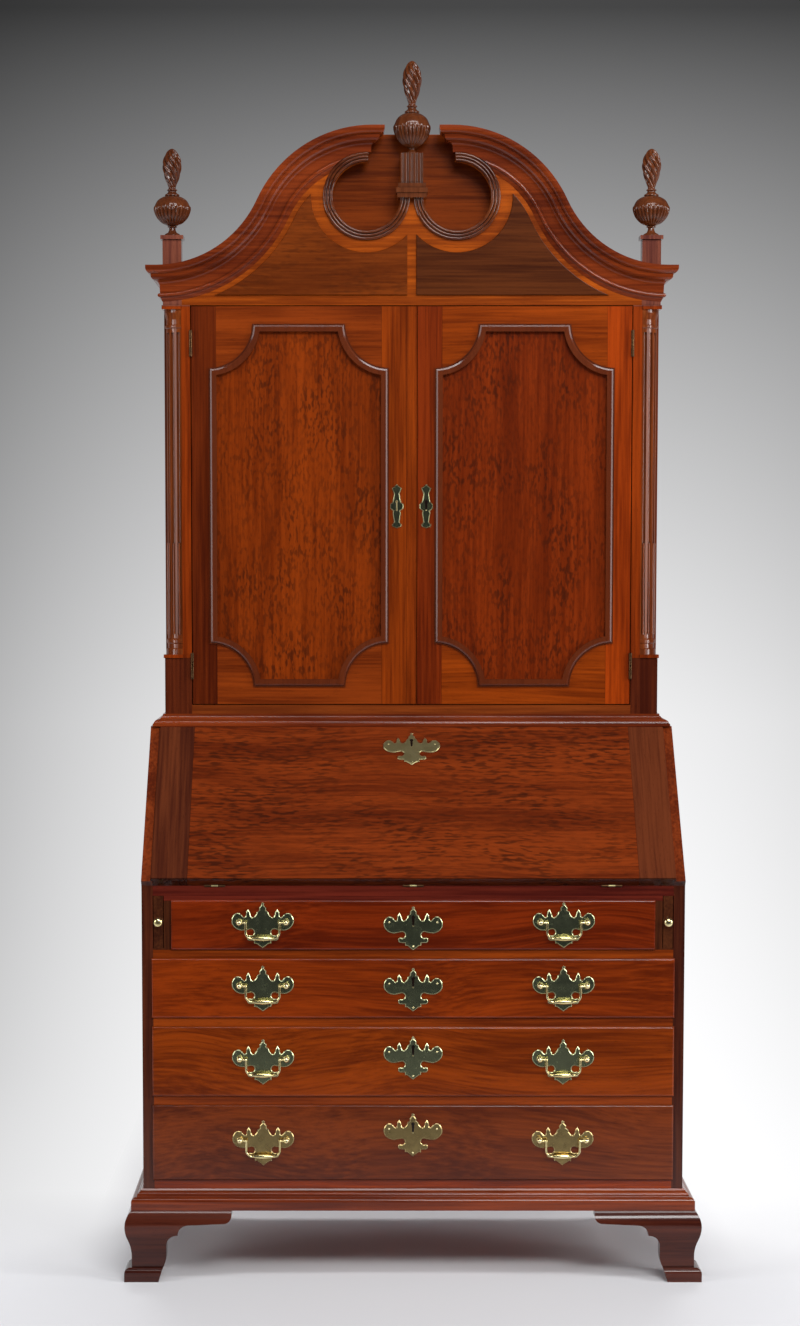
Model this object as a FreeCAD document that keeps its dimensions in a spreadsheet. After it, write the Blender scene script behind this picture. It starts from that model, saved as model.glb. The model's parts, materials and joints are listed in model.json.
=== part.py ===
import FreeCAD, Part
import math
import os

import Sketcher
from FreeCAD import Vector

# A slant-front desk with a bookcase above it, under a scrolled bonnet pediment.
# Millimetres, +Z up, the front faces -Y, +X is the viewer's right.

DRIVING_SIZES = {
    # Desk case
    "case_width": 1065,
    "case_depth": 575,
    "case_side": 22,
    "back_thickness": 15,
    "bottom_thickness": 20,
    "writing_thickness": 20,
    "desk_top_thickness": 20,
    "top_rail_height": 10.7,
    "rail_depth": 70,
    "divider_height": 23,
    "base_rail_thickness": 20,
    "runner_width": 45,
    "runner_height": 18,
    # Drawers, numbered from the top
    "drawer_1_height": 92.5,
    "drawer_2_height": 112,
    "drawer_3_height": 133,
    "drawer_4_height": 144.5,
    "drawer_lip": 3,
    "lip_thickness": 6,
    "lip_round": 4,
    "drawer_front_thickness": 16,
    "drawer_rear_room": 14,
    "drawer_side": 10,
    "drawer_bottom": 8,
    "drawer_bottom_rise": 6,
    "drawer_headroom": 4,
    "drawer_side_room": 1,
    # Lopers, the pull-out supports of the fall
    "loper_width": 18.7,
    "loper_rear_room": 80,
    "loper_room": 1.4,
    "partition_thickness": 17.3,
    "loper_knob_radius": 9,
    "loper_knob_reach": 15,
    # Fall, the sloping lid that opens into a writing surface
    "fall_length": 398,
    "fall_thickness": 20,
    "fall_lip": 4,
    "fall_lip_thickness": 6,
    "fall_lip_round": 3,
    "fall_reveal": 1,
    "batten_width": 68,
    "fall_hinge_inset": 121.5,
    "fall_hinge_length": 40,
    "fall_hinge_leaf": 24,
    "fall_leaf_thickness": 1.2,
    "fall_barrel_radius": 2.4,
    "fall_escutcheon_drop": 60,
    # Gallery of pigeonholes behind the fall
    "gallery_setback": 300,
    "gallery_board": 8,
    "gallery_drawer_height": 85,
    "pigeonhole_count": 6,
    "gallery_drawer_count": 3,
    "gallery_knob_radius": 6.5,
    "gallery_knob_reach": 13,
    "valance_height": 34,
    # Feet and mouldings of the desk
    "foot_height": 140,
    "foot_overhang": 36.3,
    "foot_inset": 8,
    "foot_length": 175,
    "foot_block": 23,
    "foot_block_lift": 2,
    "rear_bracket_thickness": 18,
    "base_height": 40,
    "base_projection": 23,
    "waist_height": 24.7,
    "waist_projection": 24.5,
    # Bookcase
    "book_inset": 28.5,
    "book_step": 10.57,
    "book_side": 22,
    "column_recess": 36.5,
    "stile_width": 18.5,
    "stile_depth": 58,
    "plinth_block_height": 114,
    "plinth_ledge_height": 7,
    "plinth_ledge_proud": 2.5,
    "column_radius": 33,
    "column_base_height": 33,
    "capital_height": 38,
    "abacus_height": 8,
    "flute_radius": 3.6,
    "stop_flute_height": 186,
    "shelf_thickness": 18,
    "shelf_count": 2,
    # Doors
    "door_height": 805.8,
    "door_thickness": 22,
    "door_gap": 2,
    "strip_width": 22,
    "strip_recess": 2,
    "meeting_gap": 1.3,
    "panel_inset": 50,
    "panel_thickness": 12,
    "panel_setback": 4,
    "moulding_inset": 35,
    "moulding_width": 16,
    "moulding_height": 6.5,
    "moulding_step": 2.5,
    "moulding_edge": 3.2,
    "moulding_crest": 1.5,
    "corner_radius": 88.5,
    "door_hinge_length": 53,
    "door_hinge_upper": 74.5,
    "door_hinge_lower": 77.8,
    "door_barrel_radius": 3.2,
    "door_leaf": 18,
    "door_leaf_thickness": 0.8,
    "hinge_proud": 3.5,
    "hinge_pin_radius": 1.5,
    "hinge_clearance": 0.08,
    "knuckle_gap": 0.4,
    "door_escutcheon_inset": 19,
    # Pediment
    "pediment_thickness": 20,
    "corner_post": 38,
    "post_height": 132,
    "post_cap": 46,
    "post_cap_height": 8,
    "cornice_top": 78,
    "cornice_height": 71,
    "cornice_projection": 33,
    "arch_rise": 277,
    "arch_start_out": 11,
    "arch_crown": 80,
    "arch_lower_radius": 224,
    "arch_end": 88,
    "board_drop": 6,
    "ring_centre_across": 91.5,
    "ring_centre_up": 217.5,
    "ring_inner_radius": 68.6,
    "ring_outer_radius": 87.6,
    "ring_height": 8,
    "plaque_thickness": 5,
    "plaque_bevel": 1.6,
    "plaque_offset": 81,
    "plaque_base": 20,
    "plaque_gap": 9,
    "plaque_ring_radius": 112,
    "centre_plinth_width": 46,
    "centre_plinth_depth": 36,
    "centre_plinth_height": 60,
    "centre_plinth_proud": 14,
    "centre_base_width": 63.5,
    "centre_base_height": 29,
    "plinth_flute_radius": 3.4,
    "plinth_drop": 4.5,
    # Bonnet behind the pediment
    "roof_drop": 10,
    "roof_thickness": 8,
    "backing_setback": 42,
    "backing_thickness": 10,
    "backing_half_width": 230,
    "backing_shoulder": 252,
    "backing_top": 346,
    "ceiling_thickness": 18,
    "ceiling_rise": 6,
    # Finials
    "centre_stem": 12,
    "centre_urn": 68,
    "centre_neck": 19.5,
    "centre_flame": 85,
    "side_stem": 20,
    "side_urn": 59,
    "side_neck": 17.5,
    "side_flame": 78,
    "urn_radius": 36,
    "flame_radius": 20,
    "flame_foot_radius": 8,
    "collar_radius": 15,
    "stem_radius": 7,
    "finial_foot_radius": 16,
    # Brasses
    "pull_across": 295,
    "plate_width": 122,
    "plate_height": 90,
    "plate_thickness": 2,
    "plate_bevel": 1,
    "escutcheon_width": 116,
    "escutcheon_height": 86,
    "escutcheon_1_lift": -6,
    "escutcheon_2_lift": -2,
    "escutcheon_3_lift": 8,
    "escutcheon_4_lift": 16,
    "door_plate_width": 27,
    "door_plate_height": 89,
    "post_spread": 46,
    "post_lift": 6,
    "post_radius": 4.2,
    "post_reach": 11,
    "post_head_radius": 5.6,
    "bail_wire_radius": 2.2,
    "bail_pin_radius": 1.6,
    "bail_arm_spread": 33,
    "bail_drop": 31,
    "bail_bend": 12.5,
    "grip_length": 40,
    "grip_radius": 5,
    # Running room between pieces that slide or swing
    "clearance": 0.3,
}

doc = FreeCAD.newDocument("BureauBookcase")
sheet = doc.addObject("Spreadsheet::Sheet", "Sizes")
for row, (name, value) in enumerate(DRIVING_SIZES.items(), 1):
    sheet.set(f"A{row}", name)
    sheet.set(f"B{row}", str(value))
    sheet.setAlias(f"B{row}", name)
doc.recompute()


class Size:
    """A length, with the formula that gives it on the sheet and its value."""

    def __init__(self, text, value):
        self.text = text
        self.value = float(value)

    def __float__(self):
        return self.value

    def __add__(self, other):
        other = as_size(other)
        return Size(f"({self.text} + {other.text})", self.value + other.value)

    def __sub__(self, other):
        other = as_size(other)
        return Size(f"({self.text} - {other.text})", self.value - other.value)

    def __mul__(self, other):
        other = as_size(other)
        return Size(f"({self.text} * {other.text})", self.value * other.value)

    def __truediv__(self, other):
        other = as_size(other)
        return Size(f"({self.text} / {other.text})", self.value / other.value)

    def __neg__(self):
        return Size(f"(0 - {self.text})", -self.value)

    def __radd__(self, other):
        return as_size(other) + self

    def __rsub__(self, other):
        return as_size(other) - self

    __rmul__ = __mul__


def as_size(item):
    return item if isinstance(item, Size) else Size(f"({float(item)!r})", item)


def root(size):
    return Size(f"sqrt({size.text})", math.sqrt(size.value))


class SizeTable:
    """The driving sizes by name, each tied to its cell."""

    def __init__(self):
        for name in DRIVING_SIZES:
            setattr(self, name, Size(f"Sizes.{name}", sheet.get(name)))


s = SizeTable()
ROOT_HALF = math.sqrt(0.5)

# Shared lines of the desk
half = s.case_width / 2
inner = half - s.case_side
front = (s.foot_overhang - s.case_depth) / 2
back = front + s.case_depth
back_face = back - s.back_thickness
base_top = s.foot_height + s.base_height
floor_4 = base_top + s.bottom_thickness
floor_3 = floor_4 + s.drawer_4_height + s.divider_height
floor_2 = floor_3 + s.drawer_3_height + s.divider_height
floor_1 = floor_2 + s.drawer_2_height + s.divider_height
rail_level = floor_1 + s.drawer_1_height
board_level = rail_level + s.top_rail_height
writing_level = board_level + s.writing_thickness
desk_top = writing_level + (s.fall_length + s.fall_thickness) * ROOT_HALF + s.fall_reveal
loper_outer = inner - s.loper_room
loper_inner = loper_outer - s.loper_width
partition_outer = loper_inner - s.loper_room
partition_inner = partition_outer - s.partition_thickness

# Shared lines of the bookcase
book_half = half - s.book_inset
book_inner = book_half - s.book_side
book_front = front + s.fall_length * ROOT_HALF + s.book_step
waist_top = desk_top + s.waist_height
recess_edge = book_half - s.column_recess
recess_back = book_front + s.column_recess
stile_edge = recess_edge - s.stile_width
door_edge = stile_edge - s.door_gap
hinge_across = stile_edge - s.door_gap / 2
hinge_line = book_front - s.hinge_proud
door_bottom = waist_top + s.shelf_thickness + s.door_gap
door_top = door_bottom + s.door_height
pediment_base = door_top + s.door_gap
pediment_back = book_front + s.pediment_thickness

# Shared lines of the pediment
cornice_level = pediment_base + s.cornice_top
crown_level = cornice_level + s.arch_rise
arch_start = book_half + s.arch_start_out
arch_run = arch_start - s.arch_crown
radii_sum = (arch_run * arch_run + s.arch_rise * s.arch_rise) / (2 * s.arch_rise)
arch_upper_radius = radii_sum - s.arch_lower_radius
lower_centre = (arch_start, cornice_level + s.arch_lower_radius)
upper_centre = (s.arch_crown, crown_level - arch_upper_radius)
toward_upper = ((upper_centre[0] - lower_centre[0]) / radii_sum,
                (upper_centre[1] - lower_centre[1]) / radii_sum)
ring_centre = (s.ring_centre_across, pediment_base + s.ring_centre_up)
plinth_level = ring_centre[1] - s.plinth_drop

subparts = []


# Modelling helpers

def bind(thing, place, size):
    thing.setExpression(place, as_size(size).text)


def spot(x, y, z):
    return Vector(float(x), float(y), float(z))


def board(label, x, y, z):
    """A rectangular board; x, y and z are each (low, high)."""
    box = doc.addObject("Part::Box", label)
    for side, axis, (low, high) in zip(("Length", "Width", "Height"), "xyz", (x, y, z)):
        bind(box, side, high - low)
        bind(box, f"Placement.Base.{axis}", low)
    return box


def arc_between(start, end, radius):
    """The short arc between two points: counter-clockwise where the radius is positive."""
    chord = end - start
    rise = math.sqrt(max(radius * radius - chord.Length ** 2 / 4, 0))
    left = Vector(-chord.y, chord.x, 0) / chord.Length
    centre = (start + end) / 2 + left * math.copysign(rise, radius)
    first, last = (start, end) if radius > 0 else (end, start)
    begin = math.atan2(first.y - centre.y, first.x - centre.x)
    finish = math.atan2(last.y - centre.y, last.x - centre.x)
    if finish <= begin:
        finish += 2 * math.pi
    return Part.ArcOfCircle(Part.Circle(centre, Vector(0, 0, 1), abs(radius)), begin, finish)


def draw(sketch, corners):
    """Closes an outline through corners given as (across, up) or (across, up, radius).

    A radius bends the stretch to the next corner, counter-clockwise if positive.
    """
    first = sketch.GeometryCount
    spots = [Vector(float(corner[0]), float(corner[1]), 0) for corner in corners]
    shapes = []
    starts = []
    for here, corner in enumerate(corners):
        start, end = spots[here], spots[(here + 1) % len(spots)]
        bent = len(corner) > 2
        shapes.append(arc_between(start, end, float(corner[2])) if bent
                      else Part.LineSegment(start, end))
        starts.append(2 if bent and float(corner[2]) < 0 else 1)
    sketch.addGeometry(shapes, False)
    rules = []
    formulas = []
    for here, corner in enumerate(corners):
        after = (here + 1) % len(corners)
        rules.append(Sketcher.Constraint("Coincident", first + here, 3 - starts[here],
                                         first + after, starts[after]))
        formulas.append(None)
        for kind, value in zip(("DistanceX", "DistanceY"), corner):
            rules.append(Sketcher.Constraint(kind, first + here, starts[here], float(value)))
            formulas.append(as_size(value))
        if len(corner) > 2:
            radius = as_size(corner[2])
            radius = radius if radius.value > 0 else -radius
            rules.append(Sketcher.Constraint("Radius", first + here, float(radius)))
            formulas.append(radius)
    offset = sketch.ConstraintCount
    sketch.addConstraint(rules)
    for place, formula in enumerate(formulas, offset):
        if formula is not None:
            bind(sketch, f"Constraints[{place}]", formula)


def new_body(label):
    return doc.addObject("PartDesign::Body", label)


def sketch_on(body, plane, level, outlines):
    """A sketch on one of the body's own planes, moved along the plane's normal."""
    sketch = body.newObject("Sketcher::SketchObject", "Outline")
    origin = next(f for f in body.Origin.OriginFeatures if f.Role == plane)
    sketch.AttachmentSupport = [(origin, "")]
    sketch.MapMode = "FlatFace"
    bind(sketch, "AttachmentOffset.Base.z", level)
    for corners in outlines:
        draw(sketch, corners)
    return sketch


def pad(body, plane, level, thickness, *outlines):
    feature = body.newObject("PartDesign::Pad", "Pad")
    feature.Profile = sketch_on(body, plane, level, outlines)
    bind(feature, "Length", thickness)
    return feature


def upright(label, rear, thickness, *outlines):
    """A board seen from the front: its outlines are (x, z), its front is rear - thickness."""
    body = new_body(label)
    pad(body, "XZ_Plane", -rear, thickness, *outlines)
    return body


def crosswise(label, left, length, *outlines):
    """A length of stock along X: its outlines are (y, z)."""
    body = new_body(label)
    pad(body, "YZ_Plane", left, length, *outlines)
    return body


def flat(label, bottom, thickness, *outlines):
    """A board lying flat: its outlines are (x, y)."""
    body = new_body(label)
    pad(body, "XY_Plane", bottom, thickness, *outlines)
    return body


def lathe(start, *runs):
    """A turned solid about Z; a run of one (radius, z) point is straight, a longer one smooth."""
    edges = []
    here = Vector(start[0], 0, start[1])
    for run in runs:
        points = [here, *[Vector(radius, 0, height) for radius, height in run]]
        if len(run) == 1:
            edges.append(Part.makeLine(*points))
        else:
            curve = Part.BSplineCurve()
            curve.interpolate(points)
            edges.append(curve.toShape())
        here = points[-1]
    edges.append(Part.makeLine(here, Vector(start[0], 0, start[1])))
    return Part.Face(Part.Wire(edges)).revolve(Vector(), Vector(0, 0, 1), 360)


def quarter(start, end, rising):
    """Points of a quarter ellipse from one (radius, z) point to another, rising or level at first."""
    points = []
    for turn in (math.pi / 8, math.pi / 4, 3 * math.pi / 8):
        late, early = 1 - math.cos(turn), math.sin(turn)
        out, up = (late, early) if rising else (early, late)
        points.append((start[0] + out * (end[0] - start[0]), start[1] + up * (end[1] - start[1])))
    return [*points, end]


def facing_front(shape):
    """The shape turned so that what rose along Z comes forward along -Y."""
    shape.rotate(Vector(), Vector(1, 0, 0), 90)
    return shape


def knob(label, radius, reach):
    """A turned knob, its shank on the plane y = 0."""
    wide, out = float(radius), float(reach)
    shape = lathe((0, 0), [(0.6 * wide, 0)], [(0.6 * wide, 0.1 * out)], [(0.4 * wide, 0.17 * out)],
                  [(0.4 * wide, 0.35 * out)], [(0.8 * wide, 0.42 * out)],
                  [(wide, 0.62 * out), (0.82 * wide, 0.85 * out), (0.45 * wide, 0.97 * out),
                   (0, out)])
    return solids(label, [facing_front(shape)])


def mirrored(source, normal=Vector(1, 0, 0), base=(0, 0, 0)):
    twin = doc.addObject("Part::Mirroring", source.Name + "_twin")
    twin.Source = source
    twin.Normal = normal
    for axis, place in zip("xyz", base):
        bind(twin, f"Base.{axis}", place)
    return twin


def cut(label, base, tools):
    """The base with every tool's space removed."""
    tool = tools[0]
    if len(tools) > 1:
        tool = doc.addObject("Part::MultiFuse", label + "_tools")
        tool.Shapes = tools
    result = doc.addObject("Part::Cut", label)
    result.Base = base
    result.Tool = tool
    return result


def common(label, members):
    result = doc.addObject("Part::MultiCommon", label)
    result.Shapes = members
    return result


def copy_at(source, x, y, z):
    """The same piece again, moved."""
    link = doc.addObject("App::Link", source.Name + "_copy")
    link.LinkedObject = source
    link.LinkTransform = True
    for axis, place in zip("xyz", (x, y, z)):
        bind(link, f"Placement.Base.{axis}", place)
    return link


def solids(label, shapes):
    """Solids made by Part's own functions."""
    feature = doc.addObject("Part::Feature", label)
    feature.Shape = Part.makeCompound(shapes) if len(shapes) > 1 else shapes[0]
    return feature


def node(label, members):
    """A named sub-part: the separate solids that share one name."""
    group = doc.addObject("Part::Compound", label)
    group.Label = label
    group.Links = members
    subparts.append(group)
    return group


def with_twin(source):
    return [source, mirrored(source)]


def symmetric(right):
    """A whole outline from its right half, which runs from the foot of the middle to its top."""
    left = []
    for place in reversed(range(len(right))):
        bend = right[place - 1][2:] if place > 0 else ()
        left.append((-right[place][0], right[place][1], *bend))
    return list(right) + left


# Desk case

def on_slant(along, out):
    """A point (y, z) measured up the slope from the hinge line, and square out of it."""
    return (front + (along - out) * ROOT_HALF, writing_level + (along + out) * ROOT_HALF)


def slant_at(height, along):
    """Where a line square to the slope, that far up it, passes a height: (y, z)."""
    return (front + along / ROOT_HALF - (height - writing_level), height)


side_proud = s.fall_thickness - s.fall_lip_thickness


def desk_sides():
    step = on_slant(0, side_proud)
    slope_top = (step[0] + (desk_top - step[1]), desk_top)
    outline = [(front, s.foot_height), (back, s.foot_height), (back, desk_top),
               slope_top, step, (front, writing_level)]
    node("desk_sides", with_twin(crosswise("desk_side", inner, s.case_side, outline)))


fall_hinge_spread = inner - s.fall_hinge_inset
fall_hinge_places = (-fall_hinge_spread, as_size(0), fall_hinge_spread)


def hinge_channel(label, across):
    """The bed of a fall hinge's barrel, along the hinge line."""
    channel = doc.addObject("Part::Cylinder", label)
    bind(channel, "Radius", s.fall_barrel_radius + s.clearance)
    bind(channel, "Height", s.fall_hinge_length + 2 * s.clearance)
    channel.Placement.Rotation = FreeCAD.Rotation(Vector(0, 1, 0), 90)
    bind(channel, "Placement.Base.x", across - s.fall_hinge_length / 2 - s.clearance)
    bind(channel, "Placement.Base.y", front)
    bind(channel, "Placement.Base.z", writing_level)
    return channel


def leaf_bed(label, across):
    """The shallow bed of a hinge leaf in the writing board."""
    reach = s.fall_hinge_length / 2 + s.clearance
    return board(label, (across - reach, across + reach),
                 (front, front + s.fall_hinge_leaf + s.clearance),
                 (writing_level - s.fall_leaf_thickness, writing_level + 1))


def desk_boards():
    bottom = board("bottom_board", (-inner, inner), (front, back_face), (base_top, floor_4))
    rail = board("base_rail", (-inner, inner), (front, front + s.base_rail_thickness),
                 (s.foot_height, base_top))
    top_outline = [slant_at(desk_top - s.desk_top_thickness, s.fall_length + s.clearance),
                   (back, desk_top - s.desk_top_thickness), (back, desk_top),
                   slant_at(desk_top, s.fall_length + s.clearance)]
    top = crosswise("desk_top_board", -inner, 2 * inner, top_outline)
    plain = board("writing_plain", (-inner, inner), (front + s.clearance, back_face),
                  (board_level, writing_level))
    beds = []
    for place, across in enumerate(fall_hinge_places):
        beds.append(hinge_channel(f"board_channel_{place}", across))
        beds.append(leaf_bed(f"board_bed_{place}", across))
    writing = cut("writing_board", plain, beds)
    node("desk_boards", [bottom, rail, top, writing])


def desk_back():
    node("desk_back_boards", [
        board("desk_back", (-inner, inner), (back_face, back),
              (s.foot_height, desk_top - s.desk_top_thickness))])


def drawer_dividers():
    """Dividers between the drawers, with the partitions that part the lopers from drawer 1."""
    boards = [board("top_rail", (-partition_inner, partition_inner),
                    (front, front + s.rail_depth), (rail_level, board_level))]
    for number, floor in enumerate((floor_1, floor_2, floor_3), 1):
        boards.append(board(f"divider_{number}", (-inner, inner),
                            (front, front + s.rail_depth), (floor - s.divider_height, floor)))
    boards += with_twin(board("partition", (partition_inner, partition_outer),
                              (front, back_face), (floor_1, board_level)))
    node("drawer_dividers", boards)


def drawer_runners():
    pieces = []
    for number, floor in enumerate((floor_1, floor_2, floor_3), 1):
        reach = s.runner_width + (inner - partition_inner if number == 1 else 0)
        pieces += with_twin(board(f"runner_{number}", (inner - reach, inner),
                                  (front + s.rail_depth, back_face),
                                  (floor - s.runner_height, floor)))
    node("drawer_runners", pieces)


# Feet and mouldings of the desk

DRAWN_FOOT = 140
foot = s.foot_height / DRAWN_FOOT


def bracket_stock(label, corners_along):
    """A length of ogee stock along the front, cut to a bracket's outline."""
    out = s.foot_overhang
    ogee = [(front + s.foot_inset, 0), (front + s.foot_inset, s.foot_height),
            (front - s.base_projection, s.foot_height, 43 * foot),
            (front - out + foot, 110 * foot, 70 * foot),
            (front - out + 6.9 * foot, 81.9 * foot, -84 * foot),
            (front - out + 14 * foot, 48 * foot), (front - out + 14 * foot, 27 * foot),
            (front - out + 10 * foot, 27 * foot, 10 * foot),
            (front - out, 17 * foot), (front - out, 0)]
    stock = crosswise(label + "_stock", -half - 2 * out, s.foot_length + 2 * out, ogee)
    bracket = upright(label + "_outline", front + s.foot_inset,
                      s.foot_inset + out + 1, corners_along)
    return stock, bracket


def bracket_outline(start):
    """Front view of a bracket: pad, neck, cusp and wing, from the corner inwards."""

    def inward(across, up, *bend):
        return (across * foot - half, up * foot, *[b * foot for b in bend])

    wing = s.foot_length - half
    return [(start, 0), inward(31, 0), inward(38, 24, 51), inward(46, 50), inward(46, 70, -22),
            inward(69, 92, -21.1), inward(88, 113), (wing - 15.5 * foot, 116 * foot, 15.5 * foot),
            (wing, 131.5 * foot), (wing, s.foot_height), (start, s.foot_height)]


def bracket_feet():
    out = s.foot_overhang
    reach = out + s.foot_inset
    stock, bracket = bracket_stock("bracket", bracket_outline(-half - 2 * out))
    mitre = flat("bracket_mitre", 0, s.foot_height, [
        (s.foot_inset - half, front + s.foot_inset), (s.foot_length - half, front + s.foot_inset),
        (s.foot_length - half, front - out), (-half - out, front - out)])
    front_face = common("front_bracket", [stock, bracket, mitre])
    corner = (-half, front, 0)
    side_face = mirrored(front_face, Vector(1, -1, 0), corner)
    square = board("bracket_square", (-half, s.foot_length - half),
                   (front - out, front - out + reach), (as_size(0), s.foot_height))
    squared = common("squared_bracket", [stock, bracket, square])
    along_side = mirrored(squared, Vector(1, -1, 0), corner)
    rear_side = mirrored(along_side, Vector(0, 1, 0), (0, (front + back) / 2, 0))
    rear = upright("rear_bracket", back, s.rear_bracket_thickness,
                   bracket_outline(s.foot_inset - half))
    low = s.foot_inset - half
    front_block = board("front_block", (low, low + s.foot_block),
                        (front + s.foot_inset, front + s.foot_inset + s.foot_block),
                        (s.foot_block_lift, s.foot_height))
    rear_edge = back - s.rear_bracket_thickness
    rear_block = board("rear_block", (low, low + s.foot_block),
                       (rear_edge - s.foot_block, rear_edge),
                       (s.foot_block_lift, s.foot_height))
    pieces = []
    for piece in (front_face, side_face, rear_side, rear, front_block, rear_block):
        pieces += with_twin(piece)
    node("bracket_feet", pieces)


def mitred_run(label, wide, face, rear, profile):
    """A moulding round the front and both sides: its profile is (projection, z) corners."""
    body = new_body(label)
    section = [(-wide - corner[0], *corner[1:]) for corner in profile]
    sketch = sketch_on(body, "XZ_Plane", -rear, [section])
    path = body.newObject("Sketcher::SketchObject", "Path")
    origin = next(f for f in body.Origin.OriginFeatures if f.Role == "XY_Plane")
    path.AttachmentSupport = [(origin, "")]
    path.MapMode = "FlatFace"
    corners = [(-wide, rear), (-wide, face), (wide, face), (wide, rear)]
    spots = [Vector(float(x), float(y), 0) for x, y in corners]
    path.addGeometry([Part.LineSegment(a, b) for a, b in zip(spots, spots[1:])], False)
    for edge in range(2):
        path.addConstraint(Sketcher.Constraint("Coincident", edge, 2, edge + 1, 1))
    for edge, end, (x, y) in ((0, 1, corners[0]), (0, 2, corners[1]),
                              (1, 2, corners[2]), (2, 2, corners[3])):
        for kind, value in (("DistanceX", x), ("DistanceY", y)):
            place = path.addConstraint(Sketcher.Constraint(kind, edge, end, float(value)))
            bind(path, f"Constraints[{place}]", value)
    pipe = body.newObject("PartDesign::AdditivePipe", "Moulding")
    pipe.Profile = sketch
    pipe.Spine = (path, ["Edge1", "Edge2", "Edge3"])
    pipe.Transition = "Right corner"
    return body


def moulding_profile(deep, low, high, shares):
    """Profile corners from shares of the projection and the height; bends share the height."""
    tall = high - low
    return [(0, low), *[(deep * out, low + tall * up, *[tall * b for b in bend])
                        for out, up, *bend in shares], (0, high)]


def base_moulding():
    profile = moulding_profile(s.base_projection, s.foot_height, base_top, [
        (1, 0), (1, 0.41, -0.22), (0.56, 0.63), (0.52, 0.67, -0.2), (0.26, 0.87), (0.24, 0.92),
        (0.13, 1)])
    node("base_moulding", [mitred_run("base_run", half, front, back, profile)])


def waist_moulding():
    profile = moulding_profile(s.waist_projection, desk_top, waist_top, [
        (1, 0), (1, 0.2), (0.92, 0.24, -0.37), (0.59, 0.55, 0.41), (0.27, 0.81), (0.18, 0.85),
        (0.18, 1)])
    node("waist_moulding", [mitred_run("waist_run", book_half, book_front, back, profile)])


# Drawers and lopers

def front_edges(shape):
    """The numbers of the edges that lie in the foremost plane of a shape."""
    foremost = min(v.Point.y for v in shape.Vertexes)
    return [number for number, edge in enumerate(shape.Edges, 1)
            if all(abs(v.Point.y - foremost) < 0.01 for v in edge.Vertexes)]


def outer_edge(shape):
    """The number of the edge that is farthest along X and stands farthest out of the slope."""
    places = [edge.CenterOfMass for edge in shape.Edges]
    outward = [round(p.x, 3) * 10 + p.z - p.y for p in places]
    return [outward.index(max(outward)) + 1]


def round_over(body, feature, pick, radius):
    """Rounds the edges of the body's last feature that pick chooses."""
    doc.recompute()
    eased = body.newObject("PartDesign::Fillet", "Thumbnail")
    eased.Base = (feature, [f"Edge{number}" for number in pick(feature.Shape)])
    bind(eased, "Radius", radius)
    return eased


def rectangle(wide, low, high):
    return [(-wide, low), (wide, low), (wide, high), (-wide, high)]


drawer_openings = {
    1: (partition_inner, floor_1, s.drawer_1_height, s.escutcheon_1_lift),
    2: (inner, floor_2, s.drawer_2_height, s.escutcheon_2_lift),
    3: (inner, floor_3, s.drawer_3_height, s.escutcheon_3_lift),
    4: (inner, floor_4, s.drawer_4_height, s.escutcheon_4_lift),
}
front_face = front - s.clearance - s.lip_thickness
front_inside = front + s.drawer_front_thickness


def drawer_front(number, wide, floor, height):
    """A lipped front: the lip laps the case all round and its edge is a thumbnail."""
    body = new_body(f"drawer_{number}_front_board")
    room = s.drawer_side_room
    pad(body, "XZ_Plane", -front_inside, s.drawer_front_thickness + s.clearance,
        rectangle(wide - room, floor + s.clearance, floor + height - room))
    lip = pad(body, "XZ_Plane", s.clearance - front, s.lip_thickness,
              rectangle(wide + s.drawer_lip, floor - s.drawer_lip, floor + height + s.drawer_lip))
    round_over(body, lip, front_edges, s.lip_round)
    node(f"drawer_{number}_front", [body])


def drawer_box(number, wide, floor, height):
    name = f"drawer_{number}"
    low = floor + s.clearance
    high = floor + height - s.drawer_headroom
    rear = back_face - s.drawer_rear_room
    outer = wide - s.drawer_side_room
    within = outer - s.drawer_side
    bottom = low + s.drawer_bottom_rise
    sides = with_twin(board(f"{name}_side", (within, outer), (front_inside, rear), (low, high)))
    rear_board = board(f"{name}_rear", (-within, within), (rear - s.drawer_side, rear), (low, high))
    bottom_board = board(f"{name}_bottom", (-within, within),
                         (front_inside, rear - s.drawer_side), (bottom, bottom + s.drawer_bottom))
    node(f"{name}_box", [*sides, rear_board, bottom_board])


def lopers():
    for name, sign in (("left_loper", -1), ("right_loper", 1)):
        low, high = sorted((sign * loper_inner, sign * loper_outer), key=float)
        node(name, [board(f"{name}_bar", (low, high), (front, back_face - s.loper_rear_room),
                          (floor_1 + s.clearance, board_level - s.clearance))])
    middle = (loper_inner + loper_outer) / 2
    height = (floor_1 + board_level) / 2
    brass_knob = knob("loper_knob", s.loper_knob_radius, s.loper_knob_reach)
    for name, sign in (("left_loper_knob", -1), ("right_loper_knob", 1)):
        node(name, [copy_at(brass_knob, sign * middle, front, height)])


# Fall

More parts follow.
